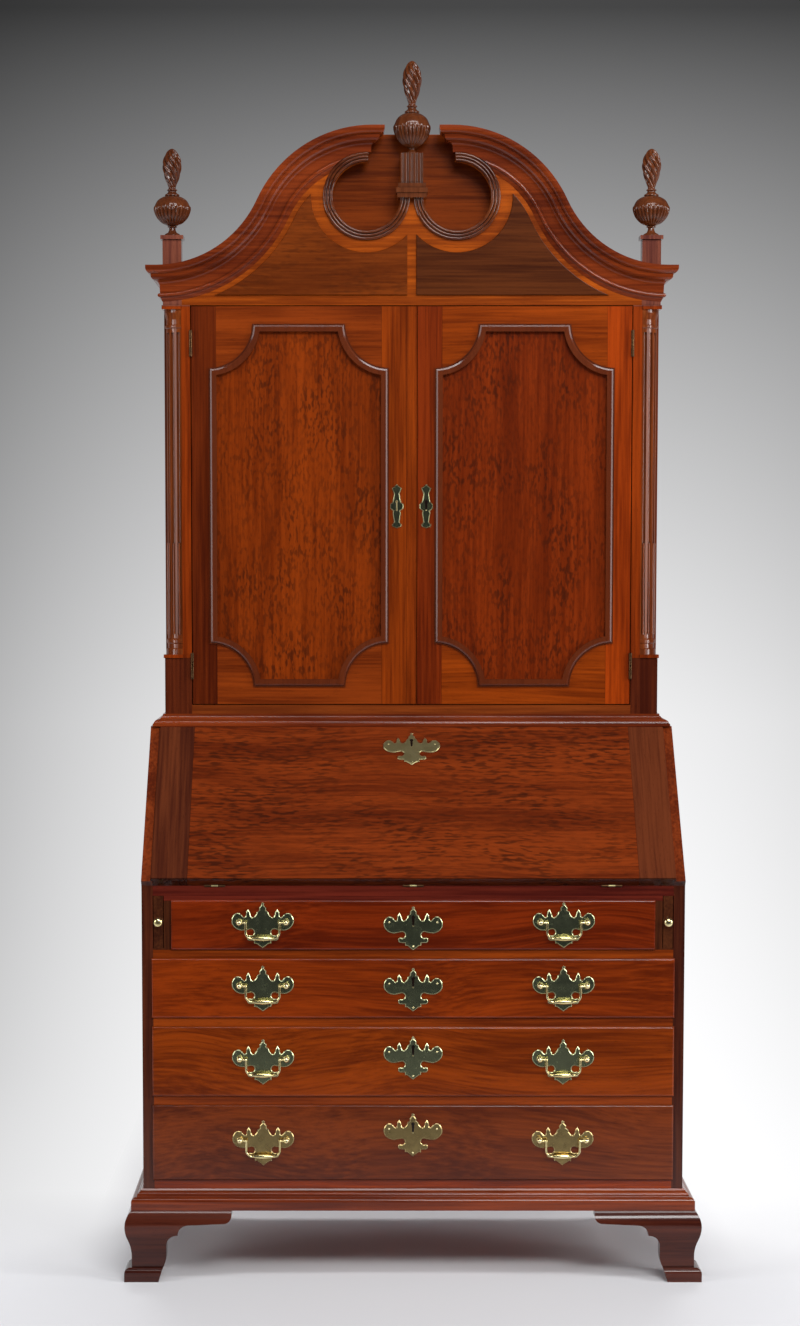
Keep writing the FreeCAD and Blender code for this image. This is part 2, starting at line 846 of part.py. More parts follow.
def fall():
    lip_start = side_proud + s.clearance
    edge = inner - s.clearance
    begin = s.clearance
    body_outline = [on_slant(begin, 0), on_slant(s.fall_length, 0),
                    on_slant(s.fall_length, s.fall_thickness), on_slant(begin, s.fall_thickness)]
    lip_outline = [on_slant(begin, lip_start), on_slant(s.fall_length, lip_start),
                   on_slant(s.fall_length, s.fall_thickness), on_slant(begin, s.fall_thickness)]
    middle = edge - s.batten_width
    beds = []
    for place, across in enumerate(fall_hinge_places):
        beds.append(hinge_channel(f"fall_channel_{place}", across))
        beds.append(fall_leaf_bed(f"fall_bed_{place}", across))
    field = cut("fall_field", crosswise("fall_plain", -middle, 2 * middle, body_outline), beds)
    batten = new_body("fall_batten")
    pad(batten, "YZ_Plane", middle, s.batten_width, body_outline)
    lip = pad(batten, "YZ_Plane", edge, s.fall_lip, lip_outline)
    round_over(batten, lip, outer_edge, s.fall_lip_round)
    node("fall_board", [field, *with_twin(batten)])


def fall_leaf_bed(label, across):
    reach = s.fall_hinge_length / 2 + s.clearance
    length = s.fall_hinge_leaf + s.clearance
    outline = [on_slant(0, -1), on_slant(length, -1), on_slant(length, s.fall_leaf_thickness),
               on_slant(0, s.fall_leaf_thickness)]
    return crosswise(label, across - reach, 2 * reach, outline)


# Gallery behind the fall

gallery_front = front + s.gallery_setback
gallery_shelf = writing_level + s.gallery_drawer_height
gallery_top = desk_top - s.desk_top_thickness


def bays(count):
    """The middles of the upright boards that share the desk's width into that many bays."""
    return [2 * inner * (place / count) - inner for place in range(1, count)]


def pigeonhole_gallery():
    thin = s.gallery_board / 2
    pieces = [board("gallery_shelf", (-inner, inner), (gallery_front, back_face),
                    (gallery_shelf, gallery_shelf + s.gallery_board))]
    for number, middle in enumerate(bays(int(s.gallery_drawer_count.value)), 1):
        pieces.append(board(f"drawer_partition_{number}", (middle - thin, middle + thin),
                            (gallery_front, back_face), (writing_level, gallery_shelf)))
    holes = int(s.pigeonhole_count.value)
    walls = [-inner - thin, *bays(holes), inner + thin]
    upper = gallery_shelf + s.gallery_board
    for number, middle in enumerate(walls[1:-1], 1):
        pieces.append(board(f"pigeonhole_partition_{number}", (middle - thin, middle + thin),
                            (gallery_front, back_face), (upper, gallery_top)))
    for number, (left, right) in enumerate(zip(walls, walls[1:]), 1):
        pieces.append(valance(f"valance_{number}", left + thin, right - thin))
    node("pigeonhole_gallery", pieces)


def valance(label, left, right):
    """The scalloped board across the head of a pigeonhole."""
    low = gallery_top - s.valance_height
    middle = (left + right) / 2
    lobe = (right - left) / 2
    outline = [(left, low, -lobe * 0.62), (middle, low + s.valance_height * 0.18, -lobe * 0.62),
               (right, low), (right, gallery_top), (left, gallery_top)]
    return upright(label, gallery_front + s.gallery_board, s.gallery_board, outline)


def gallery_drawers():
    count = int(s.gallery_drawer_count.value)
    thin = s.gallery_board / 2
    walls = [-inner - thin, *bays(count), inner + thin]
    wall = s.gallery_board
    wooden_knob = knob("gallery_knob", s.gallery_knob_radius, s.gallery_knob_reach)
    for number, (left, right) in enumerate(zip(walls, walls[1:]), 1):
        name = f"gallery_drawer_{number}"
        low = writing_level + s.clearance
        high = gallery_shelf - s.drawer_side_room
        x_low = left + thin + s.drawer_side_room
        x_high = right - thin - s.drawer_side_room
        rear = back_face - s.drawer_side
        face = gallery_front + wall
        middle = (x_low + x_high) / 2
        node(name, [
            board(f"{name}_face", (x_low, x_high), (gallery_front, face), (low, high)),
            board(f"{name}_left", (x_low, x_low + wall), (face, rear), (low, high)),
            board(f"{name}_right", (x_high - wall, x_high), (face, rear), (low, high)),
            board(f"{name}_rear", (x_low + wall, x_high - wall), (rear - wall, rear), (low, high)),
            board(f"{name}_base", (x_low + wall, x_high - wall), (face, rear - wall),
                  (low, low + wall)),
            copy_at(wooden_knob, middle, gallery_front, (low + high) / 2)])


# Bookcase

side_level = cornice_level - s.roof_drop - s.roof_thickness
ceiling_level = pediment_base + s.ceiling_rise
ceiling_top = ceiling_level + s.ceiling_thickness


def bookcase_sides():
    node("bookcase_sides", with_twin(
        board("bookcase_side", (book_inner, book_half), (recess_back, back), (desk_top, side_level))))


def stepped_board(label, narrow, step, face, bottom, thickness):
    """A board that is narrow between the front uprights and wider behind them."""
    right = [(narrow, face), (narrow, step), (book_inner, step), (book_inner, back_face)]
    left = [(-x, y) for x, y in reversed(right)]
    return flat(label, bottom, thickness, right + left)


def bookcase_shelves():
    stile_back = book_front + s.stile_depth
    pieces = [stepped_board("bookcase_bottom", stile_edge, stile_back, book_front,
                            waist_top, s.shelf_thickness),
              stepped_board("bookcase_ceiling", book_half - s.corner_post, recess_back,
                            pediment_back, ceiling_level, s.ceiling_thickness)]
    shelves = int(s.shelf_count.value)
    pitch = (ceiling_level - door_bottom) / (shelves + 1)
    for number in range(1, shelves + 1):
        low = door_bottom + pitch * number - s.shelf_thickness
        pieces.append(board(f"shelf_{number}", (-book_inner, book_inner), (stile_back, back_face),
                            (low, low + s.shelf_thickness)))
    node("bookcase_shelves", pieces)


def bookcase_back():
    node("bookcase_back", [board("bookcase_back_boards", (-book_inner, book_inner),
                                 (back_face, back), (desk_top, ceiling_top))])


block_top = waist_top + s.plinth_block_height
ledge_top = block_top + s.plinth_ledge_height


def bookcase_front():
    """Stiles beside the doors, and the blocks under and over each quarter column."""
    stile = flat("front_stile", desk_top, pediment_base - desk_top, [
        (stile_edge, book_front), (recess_edge, book_front), (recess_edge, recess_back),
        (book_inner, recess_back), (book_inner, book_front + s.stile_depth),
        (stile_edge, book_front + s.stile_depth)])
    block = board("plinth_block", (recess_edge, book_half), (book_front, recess_back),
                  (desk_top, block_top))
    proud = s.plinth_ledge_proud
    ledge = board("plinth_ledge", (recess_edge, book_half + proud),
                  (book_front - proud, recess_back), (block_top, ledge_top))
    abacus = board("abacus", (recess_edge, book_half + proud),
                   (book_front - proud, recess_back),
                   (pediment_base - s.abacus_height, pediment_base))
    post_side = book_half - s.corner_post
    post = board("corner_post", (post_side, book_half), (book_front, recess_back),
                 (pediment_base, pediment_base + s.post_height))
    spare = (s.post_cap - s.corner_post) / 2
    cap = board("post_cap", (post_side - spare, book_half + spare),
                (book_front - spare, recess_back + spare),
                (pediment_base + s.post_height, side_finial_level))
    pieces = []
    for piece in (stile, block, ledge, abacus, post, cap):
        pieces += with_twin(piece)
    node("bookcase_front_frame", pieces)


side_finial_level = pediment_base + s.post_height + s.post_cap_height
FLUTES_PER_COLUMN = 4


def quarter_columns():
    """Quarter-round columns in the front corners, fluted, the lower flutes filled with reeds."""
    base = float(ledge_top)
    top = float(pediment_base - s.abacus_height)
    shaft = float(s.column_radius)
    foot = base + float(s.column_base_height)
    head = top - float(s.capital_height)
    wide = float(s.column_recess - s.clearance)
    axis = spot(recess_edge, recess_back, 0)
    bead = (foot - base) / 3
    stations = [(0, base), (wide, base), (wide, base + bead), (shaft + 0.5, base + bead + 2),
                (shaft + 0.5, foot - bead), (wide - 1.2, foot - bead + 2), (wide - 1.2, foot - 3),
                (shaft, foot), (shaft, head), (wide - 1, head + 2), (wide - 1, head + 6),
                (shaft, head + 8), (shaft, head + 18), (wide, head + 32), (wide, top), (0, top)]
    outline = Part.makePolygon([axis + Vector(r, 0, z) for r, z in stations + stations[:1]])
    column = Part.Face(outline).revolve(axis, Vector(0, 0, 1), -90)
    groove = float(s.flute_radius)
    fillets = []
    reeds = []
    for place in range(FLUTES_PER_COLUMN):
        angle = -math.pi / 2 * (place + 0.5) / FLUTES_PER_COLUMN
        ray = Vector(math.cos(angle), math.sin(angle), 0)
        start = axis + ray * shaft + Vector(0, 0, foot + 8)
        fillets.append(Part.makeCylinder(groove, head - foot - 16, start))
        reed = axis + ray * (shaft - 1.6) + Vector(0, 0, foot + 8)
        reeds.append(Part.makeCylinder(groove - 0.8, float(s.stop_flute_height), reed))
    fluted = column.cut(Part.makeCompound(fillets)).fuse(reeds).removeSplitter()
    right = solids("quarter_column", fluted.Solids)
    node("quarter_columns", with_twin(right))


# Doors

CREST_TAPER = -65


def scooped(left, right, low, high, inset, scoop):
    """A rectangle inset in a door, its corners scooped by arcs about the moulding's corners."""
    edge = s.moulding_inset
    reach = root(scoop * scoop - (inset - edge) * (inset - edge))
    near = edge + reach
    return [(left + near, low + inset), (right - near, low + inset, -scoop),
            (right - inset, low + near), (right - inset, high - near, -scoop),
            (right - near, high - inset), (left + near, high - inset, -scoop),
            (left + inset, high - near), (left + inset, low + near, -scoop)]


def door(name, sign):
    """A framed door; the left one also carries the strip that covers the meeting."""
    left_edge = -door_edge
    right_edge = -s.strip_width / 2
    rear = book_front + s.door_thickness
    if sign > 0:
        left_edge, right_edge = s.strip_width / 2 + s.meeting_gap - s.clearance, door_edge
    frame_scoop = s.corner_radius + (s.panel_inset - s.moulding_inset)
    opening = scooped(left_edge, right_edge, door_bottom, door_top, s.panel_inset, frame_scoop)
    outer = [(left_edge, door_bottom), (right_edge, door_bottom),
             (right_edge, door_top), (left_edge, door_top)]
    frame = [upright(f"{name}_rails", rear, s.door_thickness, outer, opening)]
    if sign < 0:
        strip_right = s.strip_width / 2 - s.clearance
        frame.append(upright(f"{name}_strip", rear, s.door_thickness - s.strip_recess,
                             [(right_edge, door_bottom), (strip_right, door_bottom),
                              (strip_right, door_top), (right_edge, door_top)]))
    node(f"{name}_frame", frame)
    panel = upright(f"{name}_field", book_front + s.panel_setback + s.panel_thickness,
                    s.panel_thickness, opening)
    node(f"{name}_panel", [panel])
    moulding = new_body(f"{name}_bead")
    shoulder = s.moulding_height - s.moulding_crest
    for edge, height in ((0, s.moulding_step), (s.moulding_edge, shoulder)):
        rims = []
        for within in (as_size(edge), s.moulding_width - edge):
            rims.append(scooped(left_edge, right_edge, door_bottom, door_top,
                                s.moulding_inset + within, s.corner_radius + within))
        pad(moulding, "XZ_Plane", -book_front, height, *rims)
    crest = pad(moulding, "XZ_Plane", shoulder - book_front, s.moulding_crest, *rims)
    crest.TaperAngle = CREST_TAPER
    node(f"{name}_moulding", [moulding])


def hinge(length, barrel, leaf, thick, fixed_turn, moving_turn, lift):
    """A butt hinge about Z through the origin: its fixed half and its moving half.

    A leaf lies along +X before its turn, lifted off the axis plane by lift.
    """
    pin = float(s.hinge_pin_radius)
    bore = pin + float(s.hinge_clearance)
    gap = float(s.knuckle_gap)
    third = length / 3
    ends = [Part.makeCylinder(barrel, third, Vector(0, 0, place))
            for place in (-length / 2, length / 2 - third)]
    spindle = Part.makeCylinder(pin, length, Vector(0, 0, -length / 2))
    knuckle = Part.makeCylinder(barrel, third - 2 * gap, Vector(0, 0, gap - third / 2))
    room = Part.makeCylinder(barrel + gap, third, Vector(0, 0, -third / 2))
    rooms = [Part.makeCylinder(barrel + gap, third + gap, Vector(0, 0, place))
             for place in (-length / 2 - gap, length / 2 - third)]
    halves = []
    for turn, rise, clear in ((fixed_turn, lift, [room]), (moving_turn, -lift - thick, rooms)):
        plate = Part.makeBox(leaf, thick, length, Vector(0, rise, -length / 2))
        plate.rotate(Vector(), Vector(0, 0, 1), turn)
        halves.append(plate.cut(Part.makeCompound(clear)))
    fixed = halves[0].fuse(ends + [spindle]).removeSplitter()
    bored = knuckle.cut(Part.makeCylinder(bore, length, Vector(0, 0, -length / 2)))
    moving = halves[1].cut(Part.makeCylinder(bore, length, Vector(0, 0, -length / 2)))
    return fixed, moving.fuse(bored).removeSplitter()


def hinges():
    """Every hinge's fixed half in one sub-part; the moving halves go with the brasses."""
    fixed_halves = []
    moving = {"left_door": [], "right_door": [], "fall": []}
    barrel = float(s.door_barrel_radius)
    leaf = float(s.door_leaf)
    thick = float(s.door_leaf_thickness)
    lift = (float(s.door_gap) / 2 - thick) * 0.6
    heights = (door_bottom + s.door_hinge_lower, door_top - s.door_hinge_upper)
    for height in heights:
        fixed, swung = hinge(float(s.door_hinge_length), barrel, leaf, thick, 90, 90, lift)
        place = spot(-hinge_across, hinge_line, height)
        for shape, left, right in ((fixed, fixed_halves, fixed_halves),
                                   (swung, moving["left_door"], moving["right_door"])):
            shape.translate(place)
            left.append(shape)
            right.append(shape.mirror(Vector(), Vector(1, 0, 0)))
    for across in fall_hinge_places:
        fixed, swung = fall_hinge()
        place = spot(across, front, writing_level)
        for shape, group in ((fixed, fixed_halves), (swung, moving["fall"])):
            shape.translate(place)
            group.append(shape)
    node("hinge_fixed_leaves", [solids("fixed_leaves", fixed_halves)])
    return moving


def fall_hinge():
    """The fall's hinge along X: one leaf in the writing board, one in the sloping fall."""
    thick = float(s.fall_leaf_thickness) - 0.1
    barrel = float(s.fall_barrel_radius)
    pin = barrel * 0.55
    length = float(s.fall_hinge_length)
    leaf = float(s.fall_hinge_leaf)
    gap = float(s.knuckle_gap)
    third = length / 3
    along = Vector(1, 0, 0)

    def rod(radius, run, start):
        return Part.makeCylinder(radius, run, Vector(start, 0, 0), along)

    flat_leaf = Part.makeBox(length, leaf, thick, Vector(-length / 2, 0, -thick))
    flat_leaf = flat_leaf.cut(rod(barrel + gap, third, -third / 2))
    fixed = flat_leaf.fuse([rod(barrel, third, -length / 2), rod(barrel, third, length / 2 - third),
                            rod(pin, length, -length / 2)]).removeSplitter()
    slant_leaf = Part.makeBox(length, leaf, thick, Vector(-length / 2, 0, 0))
    slant_leaf.rotate(Vector(), along, 45)
    rooms = [rod(barrel + gap, third + 2 * gap, -length / 2 - gap),
             rod(barrel + gap, third + 2 * gap, length / 2 - third - gap)]
    bore = rod(pin + float(s.hinge_clearance), length, -length / 2)
    knuckle = rod(barrel, third - 2 * gap, gap - third / 2).cut(bore)
    swung = slant_leaf.cut(Part.makeCompound([*rooms, bore])).fuse(knuckle).removeSplitter()
    return fixed, swung


# Pediment

def along_arch(drop):
    """The arch's two tangent arcs, that far below the cornice's top: (x, z, radius) corners."""
    low = s.arch_lower_radius + drop
    meeting = (lower_centre[0] + toward_upper[0] * low, lower_centre[1] + toward_upper[1] * low)
    return low, arch_upper_radius - drop, meeting


def under_arch(foot_x, end_x, drop):
    """The arch's line from foot_x up to end_x, as outline corners from the right side inwards."""
    low, high, meeting = along_arch(drop)
    foot_run = lower_centre[0] - foot_x
    foot_z = lower_centre[1] - root(low * low - foot_run * foot_run)
    end_run = end_x - upper_centre[0]
    end_z = upper_centre[1] + root(high * high - end_run * end_run)
    return [(foot_x, foot_z, -low), (*meeting, high), (end_x, end_z)]


def disc(label, centre, radius):
    """A short cylinder through the pediment, about a line from front to back."""
    cylinder = doc.addObject("Part::Cylinder", label)
    bind(cylinder, "Radius", radius)
    bind(cylinder, "Height", 4 * s.cornice_projection)
    cylinder.Placement.Rotation = FreeCAD.Rotation(Vector(1, 0, 0), -90)
    bind(cylinder, "Placement.Base.x", centre[0])
    bind(cylinder, "Placement.Base.y", book_front - 2 * s.cornice_projection)
    bind(cylinder, "Placement.Base.z", centre[1])
    return cylinder


post_edge = book_half - s.corner_post


def pediment_board():
    """The arched board over the doors, pierced by the two scroll eyes and the middle gap."""
    right = [(post_edge, pediment_base), *under_arch(post_edge, s.arch_end, s.board_drop),
             (s.arch_end, plinth_level)]
    plain = upright("pediment_plain", pediment_back, s.pediment_thickness, symmetric(right))
    eye = disc("scroll_eye", ring_centre, s.ring_inner_radius)
    node("pediment_board", [cut("pediment", plain, with_twin(eye))])


def tympanum_panels():
    base = pediment_base + s.plaque_base
    low, high, meeting = along_arch(s.plaque_offset)
    rise = lower_centre[1] - base
    tip = lower_centre[0] - root(low * low - rise * rise)
    top = upper_centre[1] + high
    outline = [(s.plaque_gap, base), (tip, base, -low), (*meeting, high),
               (s.arch_crown, top), (s.plaque_gap, top)]
    plaque = upright("plaque_plain", book_front, s.plaque_thickness, outline)
    round_cut = disc("plaque_round", ring_centre, s.plaque_ring_radius)
    shaped = cut("plaque", plaque, [round_cut])
    doc.recompute()
    bevel = float(s.plaque_bevel)
    eased = doc.addObject("Part::Chamfer", "bevelled_plaque")
    eased.Base = shaped
    eased.Edges = [(number, bevel, bevel) for number in front_edges(shaped.Shape)]
    node("tympanum_panels", with_twin(eased))


def cornice_section(to_point):
    """The cornice's section as a face; to_point places (projection, drop)."""
    deep = float(s.cornice_projection)
    tall = float(s.cornice_height)
    mark = [(0, 0), (deep, 0), (deep, -0.06 * tall), (0.7 * deep, -0.24 * tall),
            (0.67 * deep, -0.34 * tall), (0.57 * deep, -0.39 * tall), (0.4 * deep, -0.42 * tall),
            (0.18 * deep, -0.58 * tall), (0.16 * deep, -0.77 * tall), (0.15 * deep, -0.88 * tall),
            (0.1 * deep, -0.92 * tall), (0.02 * deep, -tall), (0, -tall)]
    bends = {2: (0.93 * deep, -0.17 * tall), 6: (0.27 * deep, -0.46 * tall),
             8: (0.3 * deep, -0.825 * tall)}
    edges = []
    for place, (start, end) in enumerate(zip(mark, mark[1:] + mark[:1])):
        if place in bends:
            edges.append(Part.Arc(to_point(*start), to_point(*bends[place]),
                                  to_point(*end)).toShape())
        else:
            edges.append(Part.makeLine(to_point(*start), to_point(*end)))
    return Part.Face(Part.Wire(edges))


def plan_prism(corners):
    """A tall prism over plan corners (x, y), to cut a mitre with."""
    low = float(pediment_base)
    points = [Vector(float(x), float(y), low) for x, y in corners]
    face = Part.Face(Part.makePolygon(points + points[:1]))
    return face.extrude(Vector(0, 0, float(crown_level) + 50 - low))


def cornice():
    """The scrolled cornice of the right half in mitred lengths, and its mirror image.

    The front length rises over two tangent arcs; short returns run back along the
    bookcase's side and along the end of the scroll.
    """
    face_y = float(book_front)
    deep = float(s.cornice_projection)
    level = float(cornice_level)
    crown = float(crown_level)
    start = float(arch_start)
    top = float(s.arch_crown)
    end = float(s.arch_end)
    corner = float(book_half)
    turn = math.degrees(math.asin(float(arch_run / radii_sum)))
    back_axis = Vector(0, 1, 0)

    def section(x, z):
        return cornice_section(lambda out, drop: Vector(x, face_y - out, z + drop))

    straight = section(start, level).extrude(Vector(corner + deep + 1 - start, 0, 0))
    lower = section(start, level).revolve(spot(lower_centre[0], face_y, lower_centre[1]),
                                          back_axis, turn)
    upper = section(top, crown).revolve(spot(upper_centre[0], face_y, upper_centre[1]),
                                        back_axis, turn)
    tail = section(top, crown).extrude(Vector(end - deep - 1 - top, 0, 0))
    front_run = straight.fuse([lower, upper, tail]).removeSplitter()
    mitres = plan_prism([(corner, face_y), (corner + deep, face_y - deep),
                         (end - deep, face_y - deep), (end, face_y)])
    eye = Part.makeCylinder(float(s.ring_outer_radius), 4 * deep,
                            spot(ring_centre[0], face_y - 2 * deep, ring_centre[1]), back_axis)
    front_run = front_run.common(mitres).cut(eye)

    rear = float(back)
    side_section = cornice_section(lambda out, drop: Vector(corner + out, rear, level + drop))
    side_run = side_section.extrude(Vector(0, face_y - deep - rear, 0))
    side_run = side_run.common(plan_prism([(corner, face_y), (corner, rear),
                                           (corner + deep, rear), (corner + deep, face_y - deep)]))
    stop = float(pediment_back)
    end_section = cornice_section(lambda out, drop: Vector(end - out, stop, crown + drop))
    end_run = end_section.extrude(Vector(0, face_y - deep - stop, 0))
    end_run = end_run.common(plan_prism([(end, face_y), (end, stop),
                                         (end - deep, stop), (end - deep, face_y - deep)]))
    end_run = end_run.cut(eye)
    pieces = [*front_run.Solids, *side_run.Solids, *end_run.Solids]
    node("cornice", with_twin(solids("cornice_right", pieces)))


def scroll_rings():
    """A reeded ring round each eye, from the end of the scroll round to the middle plinth."""
    face_y = float(book_front)
    inside = float(s.ring_inner_radius)
    outside = float(s.ring_outer_radius)
    tall = float(s.ring_height)
    centre = spot(ring_centre[0], face_y, ring_centre[1])
    reed = (outside - inside) / 3
    edges = []
    for place in range(3):
        near = inside + place * reed
        crest = tall * (1 - 0.12 * place)
        low = Vector(near, -0.55 * tall, 0)
        high = Vector(near + reed, -0.55 * tall, 0)
        edges.append(Part.Arc(low, Vector(near + reed / 2, -crest, 0), high).toShape())
    rim = [Vector(outside, -0.55 * tall, 0), Vector(outside, 0, 0), Vector(inside, 0, 0),
           Vector(inside, -0.55 * tall, 0)]
    edges += Part.makePolygon(rim).Edges
    profile = Part.Face(Part.Wire(edges))
    middle = (inside + outside) / 2
    lift = math.degrees(math.asin(float(ring_centre[0] - s.arch_end) / middle))
    tuck = math.degrees(math.asin(float(s.plinth_drop) / inside))
    ring = profile.revolve(Vector(), Vector(0, 1, 0), 270 + lift - tuck)
    ring.rotate(Vector(), Vector(0, 1, 0), -90 - lift)
    ring.translate(centre)
    node("scroll_rings", with_twin(solids("scroll_ring", [ring])))


def bonnet():
    """The curved roof boards, the board that closes them behind and the backing of the eyes."""
    drop = s.roof_drop
    outer = under_arch(book_half, s.arch_end, drop)
    inside = under_arch(book_half, s.arch_end, drop + s.roof_thickness)
    returning = [(*inside[2], -inside[1][2]), (*inside[1][:2], -inside[0][2]), inside[0][:2]]
    roof = upright("roof_plain", back, back - pediment_back, [*outer, *returning])
    post_room = board("post_room", (post_edge - s.clearance, book_half + 1),
                      (pediment_back - 1, recess_back + s.clearance),
                      (pediment_base, cornice_level + s.cornice_top))
    roof_board = cut("roof_board", roof, [post_room])
    right = [(book_inner, ceiling_top),
             *under_arch(book_inner, s.arch_end, drop + s.roof_thickness),
             (s.arch_end, plinth_level)]
    rear = upright("bonnet_rear", back, s.back_thickness, symmetric(right))
    face = book_front + s.backing_setback
    top = pediment_base + s.backing_top
    shoulder = pediment_base + s.backing_shoulder
    wide = s.backing_half_width
    backing = upright("backing_board", face + s.backing_thickness, s.backing_thickness, symmetric([
        (wide, ceiling_top), (wide, shoulder), (s.arch_end, top - s.backing_thickness),
        (s.arch_end - s.backing_thickness, top)]))
    node("bonnet", [*with_twin(roof_board), rear, backing])


# Finials

def finial(label, stem, urn, neck, flame):
    """A turned urn on a flared stem, with a flame over a ringed neck."""
    stem, urn, neck, flame = float(stem), float(urn), float(neck), float(flame)
    foot = float(s.finial_foot_radius)
    thin = float(s.stem_radius)
    wide = float(s.urn_radius)
    collar = float(s.collar_radius)
    throat = float(s.flame_foot_radius)
    full = float(s.flame_radius)
    spring = 1.4 * thin
    shoulder = stem + 0.6 * urn
    urn_top = stem + urn
    flame_foot = urn_top + neck
    flame_shares = [(0.68, 0.12), (0.92, 0.26), (1, 0.42), (0.86, 0.62), (0.52, 0.82), (0.2, 0.95),
                    (0, 1)]
    shape = lathe(
        (0, 0), [(foot, 0)], [(foot, 0.2 * stem)],
        quarter((foot, 0.2 * stem), (thin, 0.75 * stem), False), [(thin, stem)], [(spring, stem)],
        quarter((spring, stem), (wide, shoulder), False),
        quarter((wide, shoulder), (collar, urn_top), True),
        [(collar, urn_top + 0.25 * neck)],
        quarter((collar, urn_top + 0.25 * neck), (throat, urn_top + 0.8 * neck), False),
        [(throat, flame_foot)],
        [(out * full, flame_foot + up * flame) for out, up in flame_shares])
    return solids(label, [shape])


centre_plinth_level = plinth_level + s.centre_base_height
centre_finial_level = centre_plinth_level + s.centre_plinth_height
centre_plinth_front = book_front - s.centre_plinth_proud
PLINTH_FLUTES = 5


def finial_plinths():
    """The fluted plinth of the middle finial, on its stepped base."""
    wide = s.centre_plinth_width / 2
    rear = centre_plinth_front + s.centre_plinth_depth
    groove = s.plinth_flute_radius
    pitch = s.centre_plinth_width / PLINTH_FLUTES
    outline = [(wide, rear), (-wide, rear), (-wide, centre_plinth_front)]
    for place in range(PLINTH_FLUTES):
        middle = pitch * (place + 0.5) - wide
        outline += [(middle - groove, centre_plinth_front, -groove * 1.02),
                    (middle + groove, centre_plinth_front)]
    outline.append((wide, centre_plinth_front))
    shaft = flat("plinth_shaft", centre_plinth_level, s.centre_plinth_height, outline)
    pieces = [shaft]
    step = s.centre_base_height / 3
    spread = (s.centre_base_width - s.centre_plinth_width) / 2
    for number, share in enumerate((0.75, 1, 0.55)):
        out = spread * share
        low = plinth_level + step * number
        pieces.append(board(f"plinth_step_{number}", (-wide - out, wide + out),
                            (centre_plinth_front - out, rear), (low, low + step)))
    node("finial_plinths", pieces)


def finials():
    centre = finial("centre_finial", s.centre_stem, s.centre_urn, s.centre_neck, s.centre_flame)
    side = finial("side_finial", s.side_stem, s.side_urn, s.side_neck, s.side_flame)
    middle_y = centre_plinth_front + s.centre_plinth_depth / 2
    post_y = book_front + s.column_recess / 2
    across = book_half - s.corner_post / 2
    node("finials", [copy_at(centre, 0, middle_y, centre_finial_level),
                     copy_at(side, -across, post_y, side_finial_level),
                     copy_at(side, across, post_y, side_finial_level)])


# Brasses

def wing_outline(wide, tall):
    """The right half of a bat-wing plate, as shares of its half width and half height.

    It runs from the bottom point, round the lower scroll and the ear, to the top finial.
    A third share bends the stretch to the next corner, as a share of that stretch.
    """
    share = [(0, -1), (0.2, -0.8), (0.27, -0.8), (0.27, -0.68), (0.4, -0.67, 0.62),
             (0.5, -0.54, 0.62), (0.43, -0.44, -0.58), (0.27, -0.31, -0.58), (0.43, -0.18),
             (0.58, -0.22, 0.8),
             (0.98, 0.06, 0.8), (0.86, 0.52, 0.8), (0.66, 0.42), (0.6, 0.34, -0.7),
             (0.54, 0.44), (0.53, 0.56), (0.47, 0.7), (0.41, 0.56), (0.39, 0.44),
             (0.36, 0.36, -0.7), (0.26, 0.38), (0.2, 0.48), (0.18, 0.58), (0.1, 0.66),
             (0.11, 0.76), (0.03, 0.88), (0.05, 0.95), (0, 1)]
    corners = []
    for corner, after in zip(share, share[1:] + share[:1]):
        across = wide * (after[0] - corner[0])
        up = tall * (after[1] - corner[1])
        stretch = root(across * across + up * up)
        corners.append((wide * corner[0], tall * corner[1], *[stretch * b for b in corner[2:]]))
    return corners


def closed_half(right):
    """The whole outline of a plate whose right half starts and ends on the middle line."""
    left = []
    for place in range(len(right) - 2, 0, -1):
        left.append((-right[place][0], right[place][1], *right[place - 1][2:]))
    top = (*right[-1][:2], *right[-2][2:])
    return [*right[:-1], top, *left]


def keyhole(tall):
    high = tall * 0.52
    low = tall * 0.06
    return [(-1.9, low), (1.9, low), (1.6, high - 3, 3.1), (0, high + 2.7, 3.1), (-1.6, high - 3)]


BEVEL_TAPER = -52


def plate(label, *outlines):
    """A brass plate with bevelled edges, its back on the plane y = 0 about its own middle."""
    body = new_body(label)
    below = s.plate_thickness - s.plate_bevel
    pad(body, "XZ_Plane", 0, below, *outlines)
    face = pad(body, "XZ_Plane", below, s.plate_bevel, *outlines)
    face.TaperAngle = BEVEL_TAPER
    return body


def plate_masters():
    """One plate of each pattern."""
    pull = plate("pull_plate", closed_half(wing_outline(s.plate_width / 2, s.plate_height / 2)))
    tall = s.escutcheon_height / 2
    lock = plate("lock_plate", closed_half(wing_outline(s.escutcheon_width / 2, tall)),
                 keyhole(tall))
    wide = s.door_plate_width / 2
    high = s.door_plate_height / 2
    half_door = [(0, -1), (0.6, -0.94), (0.75, -0.84), (0.4, -0.72), (0.62, -0.3),
                 (0.5, -0.22), (1, -0.1), (1, 0.1), (0.62, 0.2), (0.5, 0.36), (0.4, 0.56),
                 (0.75, 0.82), (0.4, 0.9), (0, 1)]
    thin = plate("door_plate", closed_half([(wide * x, high * z) for x, z in half_door]),
                 [(x, z - tall * 0.29, *bend) for x, z, *bend in keyhole(tall)])
    return pull, lock, thin


